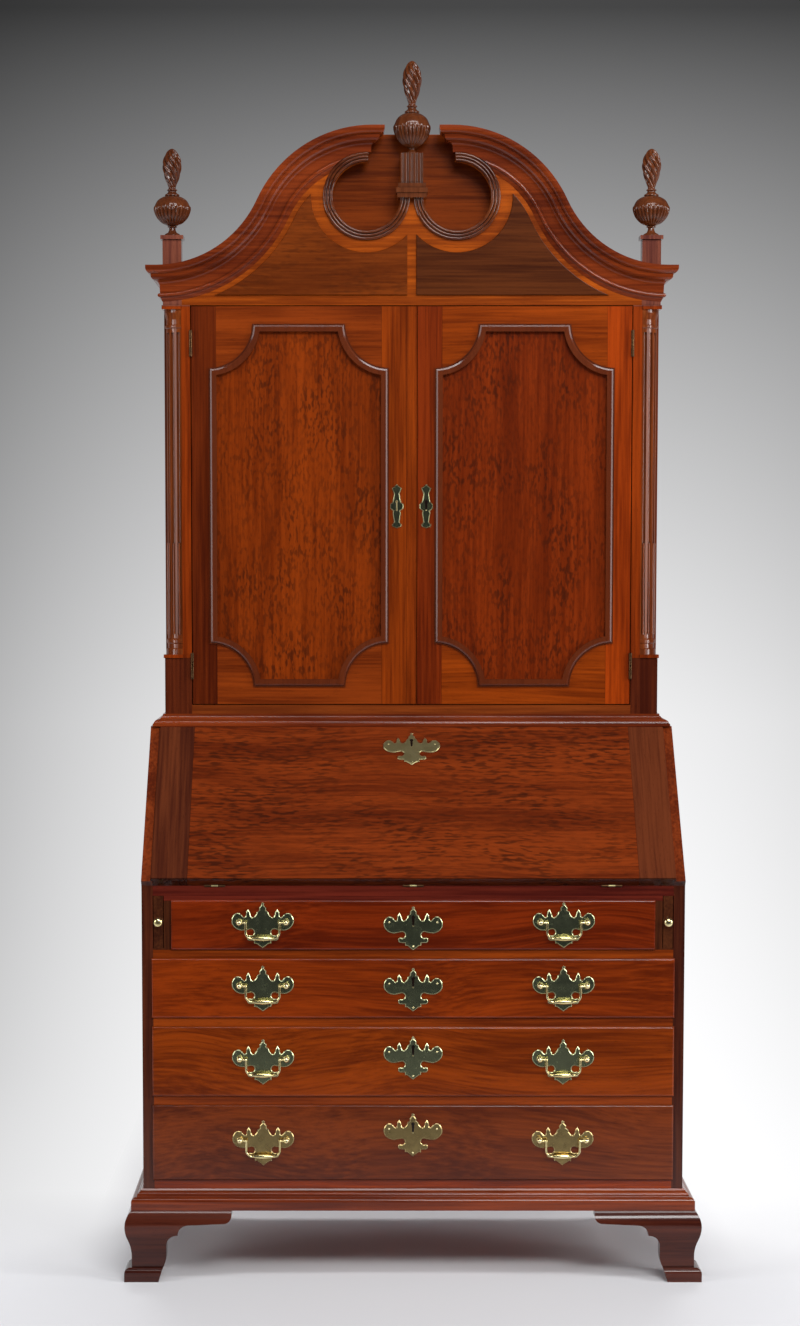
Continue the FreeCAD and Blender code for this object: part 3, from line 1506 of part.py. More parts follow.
def handle_post():
    """A turned post that carries one end of a bail, bored across for the bail's pin."""
    stem = float(s.post_radius)
    reach = float(s.post_reach)
    head = float(s.post_head_radius)
    shank = lathe((0, 0), [(1.4 * stem, 0)], [(stem, 0.2 * reach)], [(0.8 * stem, reach)],
                  [(0, reach)])
    post = facing_front(shank.fuse(Part.makeSphere(head, Vector(0, 0, reach))))
    bore = float(s.bail_pin_radius + s.hinge_clearance)
    return post.cut(Part.makeCylinder(bore, 2 * head, Vector(-head, -reach, 0), Vector(1, 0, 0)))


def handle_posts():
    """The pair of posts of one pull, the bores facing each other."""
    pair = []
    for sign in (-1, 1):
        post = handle_post()
        post.translate(spot(sign * s.post_spread, 0, s.post_lift))
        pair.append(post)
    return solids("handle_posts", pair)


def bail_shape():
    """A cast bail: pins, drooping arms and a swelling grip, hanging below its pivot line."""
    wire = float(s.bail_wire_radius)
    spread = float(s.bail_arm_spread)
    drop = float(s.bail_drop)
    bend = float(s.bail_bend)
    pin_start = float(s.post_spread)
    pin_end = pin_start - float(s.post_head_radius) - 0.6
    half_grip = float(s.grip_length) / 2
    pin = Part.makeCylinder(float(s.bail_pin_radius), pin_start - spread,
                            Vector(spread, 0, 0), Vector(1, 0, 0))
    shoulder = Part.makeCylinder(wire, pin_end - spread, Vector(spread, 0, 0), Vector(1, 0, 0))
    knuckle = Part.makeSphere(wire * 1.25, Vector(spread, 0, 0))
    arm = Part.makeCylinder(wire, drop - bend, Vector(spread, 0, bend - drop), Vector(0, 0, 1))
    turn = Part.Face(Part.Wire(Part.makeCircle(wire, Vector(spread, 0, bend - drop))))
    elbow = turn.revolve(Vector(spread - bend, 0, bend - drop), Vector(0, 1, 0), 90)
    low = -drop
    swell = Part.makePolygon([Vector(half_grip, 0, low), Vector(half_grip, 0, low + wire)])
    crest = Part.Arc(Vector(half_grip, 0, low + wire), Vector(0, 0, low + float(s.grip_radius)),
                     Vector(-half_grip, 0, low + wire)).toShape()
    close = Part.makePolygon([Vector(-half_grip, 0, low + wire), Vector(-half_grip, 0, low),
                              Vector(half_grip, 0, low)])
    profile = Part.Face(Part.Wire([*swell.Edges, crest, *close.Edges]))
    grip = profile.revolve(Vector(0, 0, low), Vector(1, 0, 0), 360)
    link = Part.makeCylinder(wire, spread - bend - half_grip + 0.5,
                             Vector(half_grip - 0.5, 0, low), Vector(1, 0, 0))
    side = [pin, shoulder, knuckle, arm, elbow, link]
    other = [shape.mirror(Vector(), Vector(1, 0, 0)) for shape in side]
    return grip.fuse(side + other).removeSplitter()


def drawer_brasses(number, floor, height, lift):
    """Two pulls and a lock plate on one drawer, and the bails that swing from the pulls."""
    middle = floor + height / 2
    members = [copy_at(lock_plate, 0, front_face, middle + lift)]
    for sign in (-1, 1):
        members.append(copy_at(pull_plate, sign * s.pull_across, front_face, middle))
        members.append(copy_at(posts, sign * s.pull_across, front_face - s.plate_thickness, middle))
    node(f"drawer_{number}_brasses", members)
    pivot = front_face - s.plate_thickness - s.post_reach
    for side, sign in (("left", -1), ("right", 1)):
        node(f"drawer_{number}_{side}_bail",
             [copy_at(bail, sign * s.pull_across, pivot, middle + s.post_lift)])


def door_brasses(name, sign, leaves):
    across = s.strip_width / 2 + s.door_escutcheon_inset
    height = (door_bottom + door_top) / 2
    plate = copy_at(door_plate, sign * across, book_front, height)
    node(f"{name}_brasses", [plate, solids(f"{name}_leaves", leaves)])


def fall_brasses(leaves):
    """The lock plate on the sloping fall, and the moving halves of its hinges."""
    along = s.fall_length - s.fall_escutcheon_drop
    place = on_slant(along, s.fall_thickness)
    plate = doc.addObject("App::Link", "fall_lock_plate")
    plate.LinkedObject = lock_plate
    plate.LinkTransform = True
    plate.Placement.Rotation = FreeCAD.Rotation(Vector(1, 0, 0), -45)
    for axis, value in zip("xyz", (as_size(0), *place)):
        bind(plate, f"Placement.Base.{axis}", value)
    node("fall_brasses", [plate, solids("fall_leaves", leaves)])


desk_sides()
desk_boards()
desk_back()
drawer_dividers()
drawer_runners()
bracket_feet()
base_moulding()
waist_moulding()
pigeonhole_gallery()
gallery_drawers()
bookcase_sides()
bookcase_shelves()
bookcase_back()
bookcase_front()
quarter_columns()
pediment_board()
tympanum_panels()
cornice()
scroll_rings()
bonnet()
finial_plinths()
finials()
door("left_door", -1)
door("right_door", 1)
fall()
lopers()
pull_plate, lock_plate, door_plate = plate_masters()
posts = handle_posts()
bail = solids("bail", [bail_shape()])
for number, (wide, floor, height, lift) in drawer_openings.items():
    drawer_front(number, wide, floor, height)
    drawer_box(number, wide, floor, height)
    drawer_brasses(number, floor, height, lift)
moving_leaves = hinges()
door_brasses("left_door", -1, moving_leaves["left_door"])
door_brasses("right_door", 1, moving_leaves["right_door"])
fall_brasses(moving_leaves["fall"])
doc.recompute()

for thing in doc.Objects:
    if "Invalid" in thing.State or "Error" in thing.State:
        raise RuntimeError(f"{thing.Label} could not be built")
for part in subparts:
    if part.Shape.isNull() or not part.Shape.isValid():
        raise RuntimeError(f"{part.Label} is not a valid shape")

os.makedirs("parts", exist_ok=True)
for part in subparts:
    part.Shape.exportStep(f"parts/{part.Label}.step")
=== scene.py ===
# %% [markdown]
# # A bureau bookcase
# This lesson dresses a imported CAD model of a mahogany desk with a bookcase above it. The model brings every
# board, moulding, hinge and brass at its real size, in metres, so nothing here is moved or resized. What is
# left for Blender is what the eye enjoys: polished timber, aged brass, carved finials, and the light.

# %% Loading the model
import json
import math

import bpy
from mathutils import Matrix, Vector

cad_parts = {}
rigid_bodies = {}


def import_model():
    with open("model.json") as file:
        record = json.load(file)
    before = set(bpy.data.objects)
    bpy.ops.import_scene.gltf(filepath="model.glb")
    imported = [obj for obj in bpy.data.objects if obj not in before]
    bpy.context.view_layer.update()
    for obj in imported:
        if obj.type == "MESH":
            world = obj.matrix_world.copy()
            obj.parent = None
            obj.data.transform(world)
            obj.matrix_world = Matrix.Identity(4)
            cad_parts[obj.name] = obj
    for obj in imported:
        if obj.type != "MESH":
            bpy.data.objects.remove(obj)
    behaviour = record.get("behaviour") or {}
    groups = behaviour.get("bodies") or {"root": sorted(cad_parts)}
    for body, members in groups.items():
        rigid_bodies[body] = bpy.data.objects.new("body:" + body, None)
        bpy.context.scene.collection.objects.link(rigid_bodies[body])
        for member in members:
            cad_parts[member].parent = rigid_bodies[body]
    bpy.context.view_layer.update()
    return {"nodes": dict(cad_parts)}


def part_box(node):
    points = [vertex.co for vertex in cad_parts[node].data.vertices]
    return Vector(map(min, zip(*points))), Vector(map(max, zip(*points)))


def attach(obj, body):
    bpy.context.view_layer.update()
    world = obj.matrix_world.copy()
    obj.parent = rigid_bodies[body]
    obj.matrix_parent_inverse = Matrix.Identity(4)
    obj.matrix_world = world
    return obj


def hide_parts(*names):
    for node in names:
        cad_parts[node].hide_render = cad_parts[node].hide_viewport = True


for leftover in list(bpy.data.objects):
    bpy.data.objects.remove(leftover)
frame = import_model()
nodes = frame["nodes"]
MM = 0.001

# %% [markdown]
# ## The camera
# The photograph was taken from a little left of the middle, at standing height, with the camera tipped down
# and the lens shifted so that the tall case still fits. A shift slides the picture over the film without
# turning the camera, so the uprights lean only as much as the small tilt asks.

# %% Placing the camera
PHOTO_WIDTH = 800
PHOTO_HEIGHT = 1326
FOCAL_PIXELS = 2877
AXIS_PIXEL = (367, 806.7)
CAMERA_PLACE = Vector((-0.0906, -5.8693, 1.427))
CAMERA_TILT = math.radians(5)
FILM_MM = 36

lens_data = bpy.data.cameras.new("photographer")
lens_data.sensor_width = FILM_MM
lens_data.lens = FILM_MM * FOCAL_PIXELS / PHOTO_HEIGHT
lens_data.shift_x = (PHOTO_WIDTH / 2 - AXIS_PIXEL[0]) / PHOTO_HEIGHT
lens_data.shift_y = (AXIS_PIXEL[1] - PHOTO_HEIGHT / 2) / PHOTO_HEIGHT
camera = bpy.data.objects.new("photographer", lens_data)
bpy.context.collection.objects.link(camera)
camera.location = CAMERA_PLACE
camera.rotation_euler = (math.pi / 2 - CAMERA_TILT, 0, 0)
bpy.context.scene.camera = camera
print("lens in millimetres:", round(lens_data.lens, 1))

# %% [markdown]
# ## Small tools
# A colour is easiest to name as an sRGB hex value, as a paint card does, but a shader adds up light, which is
# linear, so one function turns the first into the second. The next adds one shader node, with its settings,
# values and links, and the third starts a material with an empty node tree. The last gives a finished piece
# its material and hands it over to the body that carries it.

# %% Colour, node and piece helpers
# A Mix node's colours are its inputs 6 and 7 and its output 2, its numbers the inputs 2 and 3 and output 0
COLOURS = {"data_type": "RGBA"}
TIMES = {"data_type": "RGBA", "blend_type": "MULTIPLY"}
NUMBERS = {"data_type": "FLOAT"}


def linear(hex_code):
    """An sRGB hex colour as linear red, green, blue and alpha."""
    channels = [int(hex_code[place:place + 2], 16) / 255 for place in (1, 3, 5)]
    light = [c / 12.92 if c <= 0.04045 else ((c + 0.055) / 1.055) ** 2.4 for c in channels]
    return (*light, 1.0)


def add_node(tree, kind, inputs, **settings):
    """Adds a shader node; an input is a plain value or another node's output."""
    made = tree.nodes.new("ShaderNode" + kind)
    for name, value in settings.items():
        setattr(made, name, value)
    for place, value in inputs.items():
        if isinstance(value, bpy.types.NodeSocket):
            tree.links.new(value, made.inputs[place])
        else:
            made.inputs[place].default_value = value
    return made.outputs


def new_material(name):
    made = bpy.data.materials.new(name)
    made.use_nodes = True
    made.node_tree.nodes.clear()
    return made, made.node_tree


def hand_over(piece, body, finish):
    piece.data.materials.clear()
    piece.data.materials.append(finish)
    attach(piece, body)


print("middle grey #808080 in linear light:", round(linear("#808080")[0], 3))

# %% [markdown]
# ## The floor and the backdrop
# A studio sweep is one sheet of paper: flat under the object, curved up behind it with no corner to catch
# the eye. It could be two planes, but a plane whose back edge is extruded up and whose fold is bevelled is
# one sheet like the real one.

# %% Sweeping the backdrop
SWEEP_HALF_WIDTH = 7
SWEEP_FRONT = -7.5
SWEEP_BACK = 3.4
SWEEP_HEIGHT = 7
SWEEP_CURVE = 1.6
CURVE_STEPS = 16

bpy.ops.object.select_all(action="DESELECT")
bpy.ops.mesh.primitive_plane_add(size=2)
sweep = bpy.context.active_object
sweep.name = "studio_sweep"
for corner in sweep.data.vertices:
    corner.co.x *= SWEEP_HALF_WIDTH
    corner.co.y = SWEEP_BACK if corner.co.y > 0 else SWEEP_FRONT
bpy.ops.object.mode_set(mode="EDIT")
bpy.ops.mesh.select_all(action="DESELECT")
bpy.ops.object.mode_set(mode="OBJECT")
for edge in sweep.data.edges:
    edge.select = all(sweep.data.vertices[end].co.y > 0 for end in edge.vertices)
bpy.ops.object.mode_set(mode="EDIT")
bpy.ops.mesh.select_mode(type="EDGE")
bpy.ops.mesh.extrude_region_move(TRANSFORM_OT_translate={"value": (0, 0, SWEEP_HEIGHT)})
bpy.ops.object.mode_set(mode="OBJECT")
fold = sweep.modifiers.new("fold", "BEVEL")
fold.width = SWEEP_CURVE
fold.segments = CURVE_STEPS
fold.limit_method = "ANGLE"
bpy.ops.object.modifier_apply(modifier=fold.name)
bpy.ops.object.shade_smooth()
print("sweep faces:", len(sweep.data.polygons))

# %% [markdown]
# The paper is matt, so it only has a colour: pale round the object, and cool and dark towards the camera,
# where its reflection in the polish would wash the wood out.

# %% Colouring the paper
PALE_PAPER = "#dfdfe2"
DARK_PAPER = "#3c3f44"
DARKENING = {"From Min": -0.9, "From Max": -2.4}

paper, tree = new_material("matt_background_paper")
place = add_node(tree, "SeparateXYZ", {0: add_node(tree, "TexCoord", {})["Object"]})
near = add_node(tree, "MapRange", {"Value": place["Y"], **DARKENING})[0]
tone = add_node(tree, "Mix", {0: near, 6: linear(PALE_PAPER), 7: linear(DARK_PAPER)}, **COLOURS)[2]
matt = add_node(tree, "BsdfDiffuse", {"Color": tone})[0]
print("paper from", PALE_PAPER, "to", DARK_PAPER)

# %% [markdown]
# Studio paper is often lit by a spot of its own. Here the wall glows instead, brightest low down and a little
# right of the middle, and fades to dark at the top. The fade to the sides follows the square of the distance,
# and never goes below a least level.

# %% Making the wall glow
SPOT_MIDDLE = 0.3
SPOT_LEVEL = 0.92
SPOT_FALL = -0.17
SPOT_LEAST = 0.45
FADE_UP = {"From Min": 0.9, "From Max": 3.15, "To Min": 1.0, "To Max": 0.07}
LIFT_LOW = {"From Max": 0.9, "To Min": 1.17, "To Max": 1.0}
GLOW_WHITE = "#fefeff"

aside = add_node(tree, "Math", {0: place["X"], 1: SPOT_MIDDLE}, operation="SUBTRACT")[0]
aside = add_node(tree, "Math", {0: aside, 1: aside}, operation="MULTIPLY")[0]
spot = add_node(tree, "Math", {0: aside, 1: SPOT_FALL, 2: SPOT_LEVEL}, operation="MULTIPLY_ADD")[0]
spot = add_node(tree, "Math", {0: spot, 1: SPOT_LEAST}, operation="MAXIMUM")[0]
high = add_node(tree, "MapRange", {"Value": place["Z"], **FADE_UP})[0]
low = add_node(tree, "MapRange", {"Value": place["Z"], **LIFT_LOW})[0]
level = add_node(tree, "Math", {0: spot, 1: high}, operation="MULTIPLY")[0]
level = add_node(tree, "Math", {0: level, 1: low}, operation="MULTIPLY")[0]
glow = add_node(tree, "Emission", {"Color": linear(GLOW_WHITE), "Strength": level})[0]
print("glow from", SPOT_LEVEL, "in the middle down to", SPOT_LEAST, "at the sides")

# %% [markdown]
# The glow shows only where the wall is seen directly or in a reflection, so it lights nothing, and the floor
# under the object stays plain paper and keeps its shadow. Seen from behind, the wall is clear, so that it
# never hides the back of the object.

# %% Showing the glow
BESIDE_CASE = {"From Min": 0.52, "From Max": 0.68}
BEHIND_FRONT = {"From Min": -0.3, "From Max": 0.5}
TO_WALL = {"From Min": 0.9, "From Max": 1.8}

out = add_node(tree, "Math", {0: place["X"]}, operation="ABSOLUTE")[0]
out = add_node(tree, "MapRange", {"Value": out, **BESIDE_CASE})[0]
back = add_node(tree, "MapRange", {"Value": place["Y"], **BEHIND_FRONT})[0]
wall = add_node(tree, "MapRange", {"Value": place["Y"], **TO_WALL})[0]
share = add_node(tree, "Math", {0: out, 1: back}, operation="MULTIPLY")[0]
share = add_node(tree, "Math", {0: share, 1: wall}, operation="MAXIMUM")[0]
ray = add_node(tree, "LightPath", {})
seen = add_node(tree, "Math", {0: ray["Is Camera Ray"], 1: ray["Is Glossy Ray"]}, operation="MAXIMUM")[0]
seen = add_node(tree, "Math", {0: seen, 1: ray["Is Transmission Ray"]}, operation="MAXIMUM")[0]
share = add_node(tree, "Math", {0: share, 1: seen}, operation="MULTIPLY")[0]
shown = add_node(tree, "MixShader", {0: share, 1: matt, 2: glow})[0]
clear = add_node(tree, "BsdfTransparent", {})[0]
behind = add_node(tree, "NewGeometry", {})["Backfacing"]
shown = add_node(tree, "MixShader", {0: behind, 1: shown, 2: clear})[0]
add_node(tree, "OutputMaterial", {0: shown})
sweep.data.materials.append(paper)
print("paper nodes:", len(tree.nodes))

# %% [markdown]
# ## The lamps
# Polished wood is a poor mirror but still a mirror, so where the lamps stand matters more than how strong
# they are. A wide dim screen and a narrow box stand far out on each side, one slim box hangs over the front,
# and the main lamp hangs high above the camera. No flat front mirrors any of them, so the fronts stay deep
# in colour, but every rounded edge does. The last one hangs behind the object, above the picture, and lights
# the back boards. It is kept out of reflections, so that it draws no white rims on the finials.

# %% Hanging the lamps
# Place, width and height in metres, and watts
LAMPS = {
    "left_screen": ((-4.0, -3.2, 2.2), 1.3, 2.4, 30),
    "right_screen": ((4.2, -3.2, 2.2), 1.4, 2.4, 40),
    "left_box": ((-4.2, -1.7, 2.1), 0.8, 2.4, 50),
    "right_box": ((4.2, -1.7, 2.1), 0.8, 2.4, 90),
    "high_box": ((1.5, -5.6, 4.7), 3.0, 1.5, 240),
    "top_box": ((0.2, -2.3, 4.6), 3.4, 0.5, 50),
    "back_box": ((0.0, 2.6, 4.6), 3.0, 1.0, 120),
}
CASE_MIDDLE = Vector((0, 0, 1.2))

for name, (stand, width, height, watts) in LAMPS.items():
    data = bpy.data.lights.new(name, "AREA")
    data.shape = "RECTANGLE"
    data.size = width
    data.size_y = height
    data.energy = watts
    lamp = bpy.data.objects.new(name, data)
    bpy.context.collection.objects.link(lamp)
    lamp.location = stand
    lamp.rotation_euler = (CASE_MIDDLE - Vector(stand)).to_track_quat("-Z", "Y").to_euler()
    lamp.visible_glossy = name != "back_box"
print("lamps:", ", ".join(LAMPS))

# %% [markdown]
# The rest of the room is a dim cool grey, which fills the shadows and is what the flat brasses mirror. The
# Standard view shows each colour about as it is written.

# %% Dimming the room
ROOM_GREY = "#8c96a2"
ROOM_LEVEL = 0.12

world = bpy.data.worlds.new("studio")
bpy.context.scene.world = world
world.use_nodes = True
room = world.node_tree.nodes["Background"]
room.inputs["Color"].default_value = linear(ROOM_GREY)
room.inputs["Strength"].default_value = ROOM_LEVEL
bpy.context.scene.view_settings.view_transform = "Standard"
print("room light:", ROOM_GREY, "at", ROOM_LEVEL)

# %% [markdown]
# ## Mahogany
# The timber is mahogany, planed, darkened by age and French polished. Three things give it away: broad
# ribbons of lighter and darker growth, fine streaks and open pores that all run along the board, and the
# clear polish on top, whose glints are white where the wood's own are brown. Each layer could be painted, but
# a noise stretched along the grain gives them all, and each board only has to say which way its grain runs.

# %% Stretching noise along the grain
SLOPE = math.radians(45)
GRAIN_TURN = {"x": (0, 0, 0), "y": (0, 0, -math.pi / 2), "z": (0, math.pi / 2, 0),
              "slope": (0, math.pi / 2, 0)}


def along_grain(tree, grain, shift):
    """Object coordinates turned so that the grain runs along X; a round grain follows a moulding."""
    coords = add_node(tree, "TexCoord", {})["Object"]
    if grain == "round":
        run = add_node(tree, "VectorMath", {0: coords, 1: (1, 1, 0)}, operation="DOT_PRODUCT")["Value"]
        rise = add_node(tree, "SeparateXYZ", {0: coords})["Z"]
        coords = add_node(tree, "CombineXYZ", {0: run, 1: rise})[0]
        return add_node(tree, "Mapping", {"Vector": coords, "Location": shift})[0]
    if grain == "slope":
        coords = add_node(tree, "Mapping", {"Vector": coords, "Rotation": (SLOPE, 0, 0)})[0]
    turn = GRAIN_TURN[grain]
    return add_node(tree, "Mapping", {"Vector": coords, "Location": shift, "Rotation": turn})[0]


def stretched_noise(tree, vector, size_mm, detail):
    """Noise whose marks are size_mm (long, wide), as a number about 0.5."""
    long, wide = (1 / (part * MM) for part in size_mm)
    scaled = add_node(tree, "VectorMath", {0: vector, 1: (long, wide, wide)}, operation="MULTIPLY")[0]
    return add_node(tree, "TexNoise", {"Vector": scaled, "Scale": 1.0, "Detail": detail})[0]


print("grain directions:", ", ".join([*GRAIN_TURN, "round"]))

# %% [markdown]
# A drawer front or a door panel was cut from showier wood than a case side. The sway bends the streaks as
# they bend round a knot, and the flecks are the soft dark dashes that cabinet makers call plum-pudding
# figure, thick in some patches of the board and thin in others.

# %% Swaying and flecking
SWAY_MM = 500
MIDDLE_GREY = (0.5, 0.5, 0.5)
PATCH_MM = (150, 80)
PATCH_SPREAD = {"From Min": 0.38, "From Max": 0.62}
FLECK_SPREAD = {"From Min": 0.34, "From Max": 0.56}
THIN_SHARE = 0.3
FLECK_TONE = "#2a1006"


def swayed(tree, vector, sway):
    """Coordinates that wander off the straight grain by up to about sway, in metres."""
    noise = {"Vector": vector, "Scale": 1 / (SWAY_MM * MM), "Detail": 1.0}
    drift = add_node(tree, "TexNoise", noise)[1]
    centred = add_node(tree, "VectorMath", {0: drift, 1: MIDDLE_GREY}, operation="SUBTRACT")[0]
    bend = add_node(tree, "VectorMath", {0: centred, 1: (0.0, sway, sway)}, operation="MULTIPLY")[0]
    return add_node(tree, "VectorMath", {0: vector, 1: bend}, operation="ADD")[0]


def flecked(tree, vector, colour, share, size_mm):
    """The colour with dark flecks of size_mm (long, wide), at most share of the way to their tone."""
    fleck = stretched_noise(tree, vector, size_mm, detail=1.0)
    patch = stretched_noise(tree, vector, PATCH_MM, detail=2.0)
    most = add_node(tree, "MapRange", {"Value": patch, **PATCH_SPREAD, "To Min": THIN_SHARE * share,
                                       "To Max": share})[0]
    dark = add_node(tree, "MapRange", {"Value": fleck, **FLECK_SPREAD, "To Min": most, "To Max": 0.0},
                    interpolation_type="SMOOTHSTEP")[0]
    return add_node(tree, "Mix", {0: dark, 6: colour, 7: linear(FLECK_TONE)}, **COLOURS)[2]


print("patches of flecks in mm:", PATCH_MM)

# %% [markdown]
# One function figures every board. Its tone is its colour halfway between its dark and its light growth, and
# the figure says how far the growth strays from that. The pores come back as a number too, because they also
# dent the polish, and so do the streaks, which make it a little duller.

# %% Figuring a board
RIBBON_MM = (750, 60)
STREAK_MM = (170, 5.5)
PORE_MM = (16, 1.3)  # Real pores are finer; these are drawn as coarse as the render needs to show them
STREAK_SHARE = 0.45
GROWTH_SPREAD = {"From Min": 0.34, "From Max": 0.66}
DARK_GROWTH = (0.55, 0.48, 0.6, 1)
LIGHT_GROWTH = (1.45, 1.52, 1.4, 1)
PORE_SPREAD = {"From Min": 0.24, "From Max": 0.42, "To Min": 0.55}
PORE_SHARE = 0.7


def wood_figure(tree, grain, shift, tone, figure=1.0, sway=0.0, flecks=None):
    """The colour of a board, the depth of its pores and its streaks."""
    vector = along_grain(tree, grain, shift)
    if sway:
        vector = swayed(tree, vector, sway)
    ribbon = stretched_noise(tree, vector, RIBBON_MM, detail=3.0)
    streak = stretched_noise(tree, vector, STREAK_MM, detail=4.0)
    pore = stretched_noise(tree, vector, PORE_MM, detail=2.0)
    mixed = add_node(tree, "Mix", {0: STREAK_SHARE, 2: ribbon, 3: streak}, **NUMBERS)[0]
    growth = add_node(tree, "MapRange", {"Value": mixed, **GROWTH_SPREAD, "To Min": 0.5 - 0.5 * figure,
                                         "To Max": 0.5 + 0.5 * figure}, interpolation_type="SMOOTHSTEP")[0]
    bands = add_node(tree, "Mix", {0: growth, 6: DARK_GROWTH, 7: LIGHT_GROWTH}, **COLOURS)[2]
    colour = add_node(tree, "Mix", {0: 1.0, 6: linear(tone), 7: bands}, **TIMES)[2]
    pores = add_node(tree, "MapRange", {"Value": pore, **PORE_SPREAD}, interpolation_type="SMOOTHSTEP")[0]
    colour = add_node(tree, "Mix", {0: PORE_SHARE, 6: colour, 7: pores}, **TIMES)[2]
    if flecks:
        colour = flecked(tree, vector, colour, *flecks)
    return colour, pores, streak


print("ribbons, streaks and pores in mm:", RIBBON_MM, STREAK_MM, PORE_MM)

# %% [markdown]
# French polish is shellac rubbed on until the surface is a clear, glossy skin. In the shader it is the coat,
# over a body that hardly shines by itself, so the flat fronts keep their colour and only rounded edges glint.
# The pores are too many to model, so they dent the surface through a Bump node. An Ambient Occlusion node
# that looks at the piece alone darkens the quirks of mouldings and the flutes: partly old wax and dust in
# hollows that a cloth can't reach, and partly painted shade.

# %% Polishing it
PORE_DEPTH_MM = 0.4
DENT_STRENGTH = 0.12
HOLLOW_MM = 7
HOLLOW_RAYS = 8
WAX_AND_SHADE_SPREAD = {"From Min": 0.3, "From Max": 0.9, "To Min": 0.25}
DULL_SPREAD = {"From Min": 0.3, "From Max": 0.7}
DULL_LESS = 0.05
DULL_MORE = 0.07
BODY_ROUGH = 0.36
BODY_SHINE = 0.02
COAT = 0.7
COAT_ROUGH = 0.13


def polished(tree, colour, pores, streak, rough=BODY_ROUGH, coat=COAT):
    dull = add_node(tree, "MapRange", {"Value": streak, **DULL_SPREAD, "To Min": rough - DULL_LESS,
                                       "To Max": rough + DULL_MORE})[0]
    depth = PORE_DEPTH_MM * MM
    dents = add_node(tree, "Bump", {"Strength": DENT_STRENGTH, "Distance": depth, "Height": pores})[0]
    hollow = add_node(tree, "AmbientOcclusion", {"Distance": HOLLOW_MM * MM}, samples=HOLLOW_RAYS,
                      only_local=True)["AO"]
    # Partly painted shade: the colour darkens where the piece closes round a point, as well as old wax
    wax_and_shade = add_node(tree, "MapRange", {"Value": hollow, **WAX_AND_SHADE_SPREAD})[0]
    colour = add_node(tree, "Mix", {0: 1.0, 6: colour, 7: wax_and_shade}, **TIMES)[2]
    shader = add_node(tree, "BsdfPrincipled", {
        "Base Color": colour, "Roughness": dull, "Normal": dents, "Specular IOR Level": BODY_SHINE,
        "Coat Weight": coat, "Coat Roughness": COAT_ROUGH})[0]
    add_node(tree, "OutputMaterial", {0: shader})


def mahogany(name, grain, tone, shift, figure=1.0, sway=0.0, flecks=None, rough=BODY_ROUGH, coat=COAT):
    made, tree = new_material(name)
    colour, pores, streak = wood_figure(tree, grain, shift, tone, figure, sway, flecks)
    polished(tree, colour, pores, streak, rough, coat)
    return made


print("pores", PORE_DEPTH_MM, "mm deep, wax in hollows under", HOLLOW_MM, "mm")

# %% [markdown]
# A door frame, the sloping fall and the bookcase's front are each joined from boards of different tone, and
# some cross the grain of others. So one material makes three boards, and where a point lies along one axis
# chooses among them, with a thin dark line at each joint.

# %% Joining boards
JOINT_MM = 0.6
JOINT_SHADE = 0.4


def joined(name, axis, joints, boards, shift, *extras):
    """Three boards in a row along an axis, each a (grain, tone); the extras are the middle one's."""
    made, tree = new_material(name)
    along = add_node(tree, "SeparateXYZ", {0: add_node(tree, "TexCoord", {})["Object"]})[axis]
    low, middle, high = boards
    colour, pores, streak = wood_figure(tree, low[0], shift, low[1])
    gaps = []
    for joint, (grain, tone), more in zip(joints, (middle, high), (extras, ())):
        past = add_node(tree, "Math", {0: along, 1: joint}, operation="GREATER_THAN")[0]
        next_colour, next_pores, next_streak = wood_figure(tree, grain, shift, tone, *more)
        colour = add_node(tree, "Mix", {0: past, 6: colour, 7: next_colour}, **COLOURS)[2]
        pores = add_node(tree, "Mix", {0: past, 2: pores, 3: next_pores}, **NUMBERS)[0]
        streak = add_node(tree, "Mix", {0: past, 2: streak, 3: next_streak}, **NUMBERS)[0]
        away = add_node(tree, "Math", {0: along, 1: joint}, operation="SUBTRACT")[0]
        gaps.append(add_node(tree, "Math", {0: away}, operation="ABSOLUTE")[0])
    gap = add_node(tree, "Math", {0: gaps[0], 1: gaps[1]}, operation="MINIMUM")[0]
    seam = add_node(tree, "MapRange", {"Value": gap, "From Max": JOINT_MM * MM, "To Min": JOINT_SHADE})[0]
    colour = add_node(tree, "Mix", {0: 1.0, 6: colour, 7: seam}, **TIMES)[2]
    polished(tree, colour, pores, streak)
    return made


print("joint line in mm:", JOINT_MM)

# %% [markdown]
# ## Brass
# The plates are cast and filed brass under old lacquer, which dulls it. Brass is a metal, so its colour is
# the colour of its reflections: the flat faces mirror the dark room. A slow blotch of tarnish keeps them
# from looking new, and the rims are painted pale and rough, partly as rubbed wear and partly as a painted
# highlight: where the Bevel node would round an edge, its normal leaves the true one, and that difference
# marks the rim.

# %% Casting the brass
TARNISH_MM = 14
BLOTCH_SPREAD = {"From Min": 0.3, "From Max": 0.7}
BLOTCH_LESS = 0.04
BLOTCH_MORE = 0.05
RIM_MM = 1.0
RIM_SPREAD = {"From Min": 0.99, "From Max": 0.9}
RIM_WEAR_AND_HIGHLIGHT = "#e2d29c"
RIM_ROUGH = 0.5


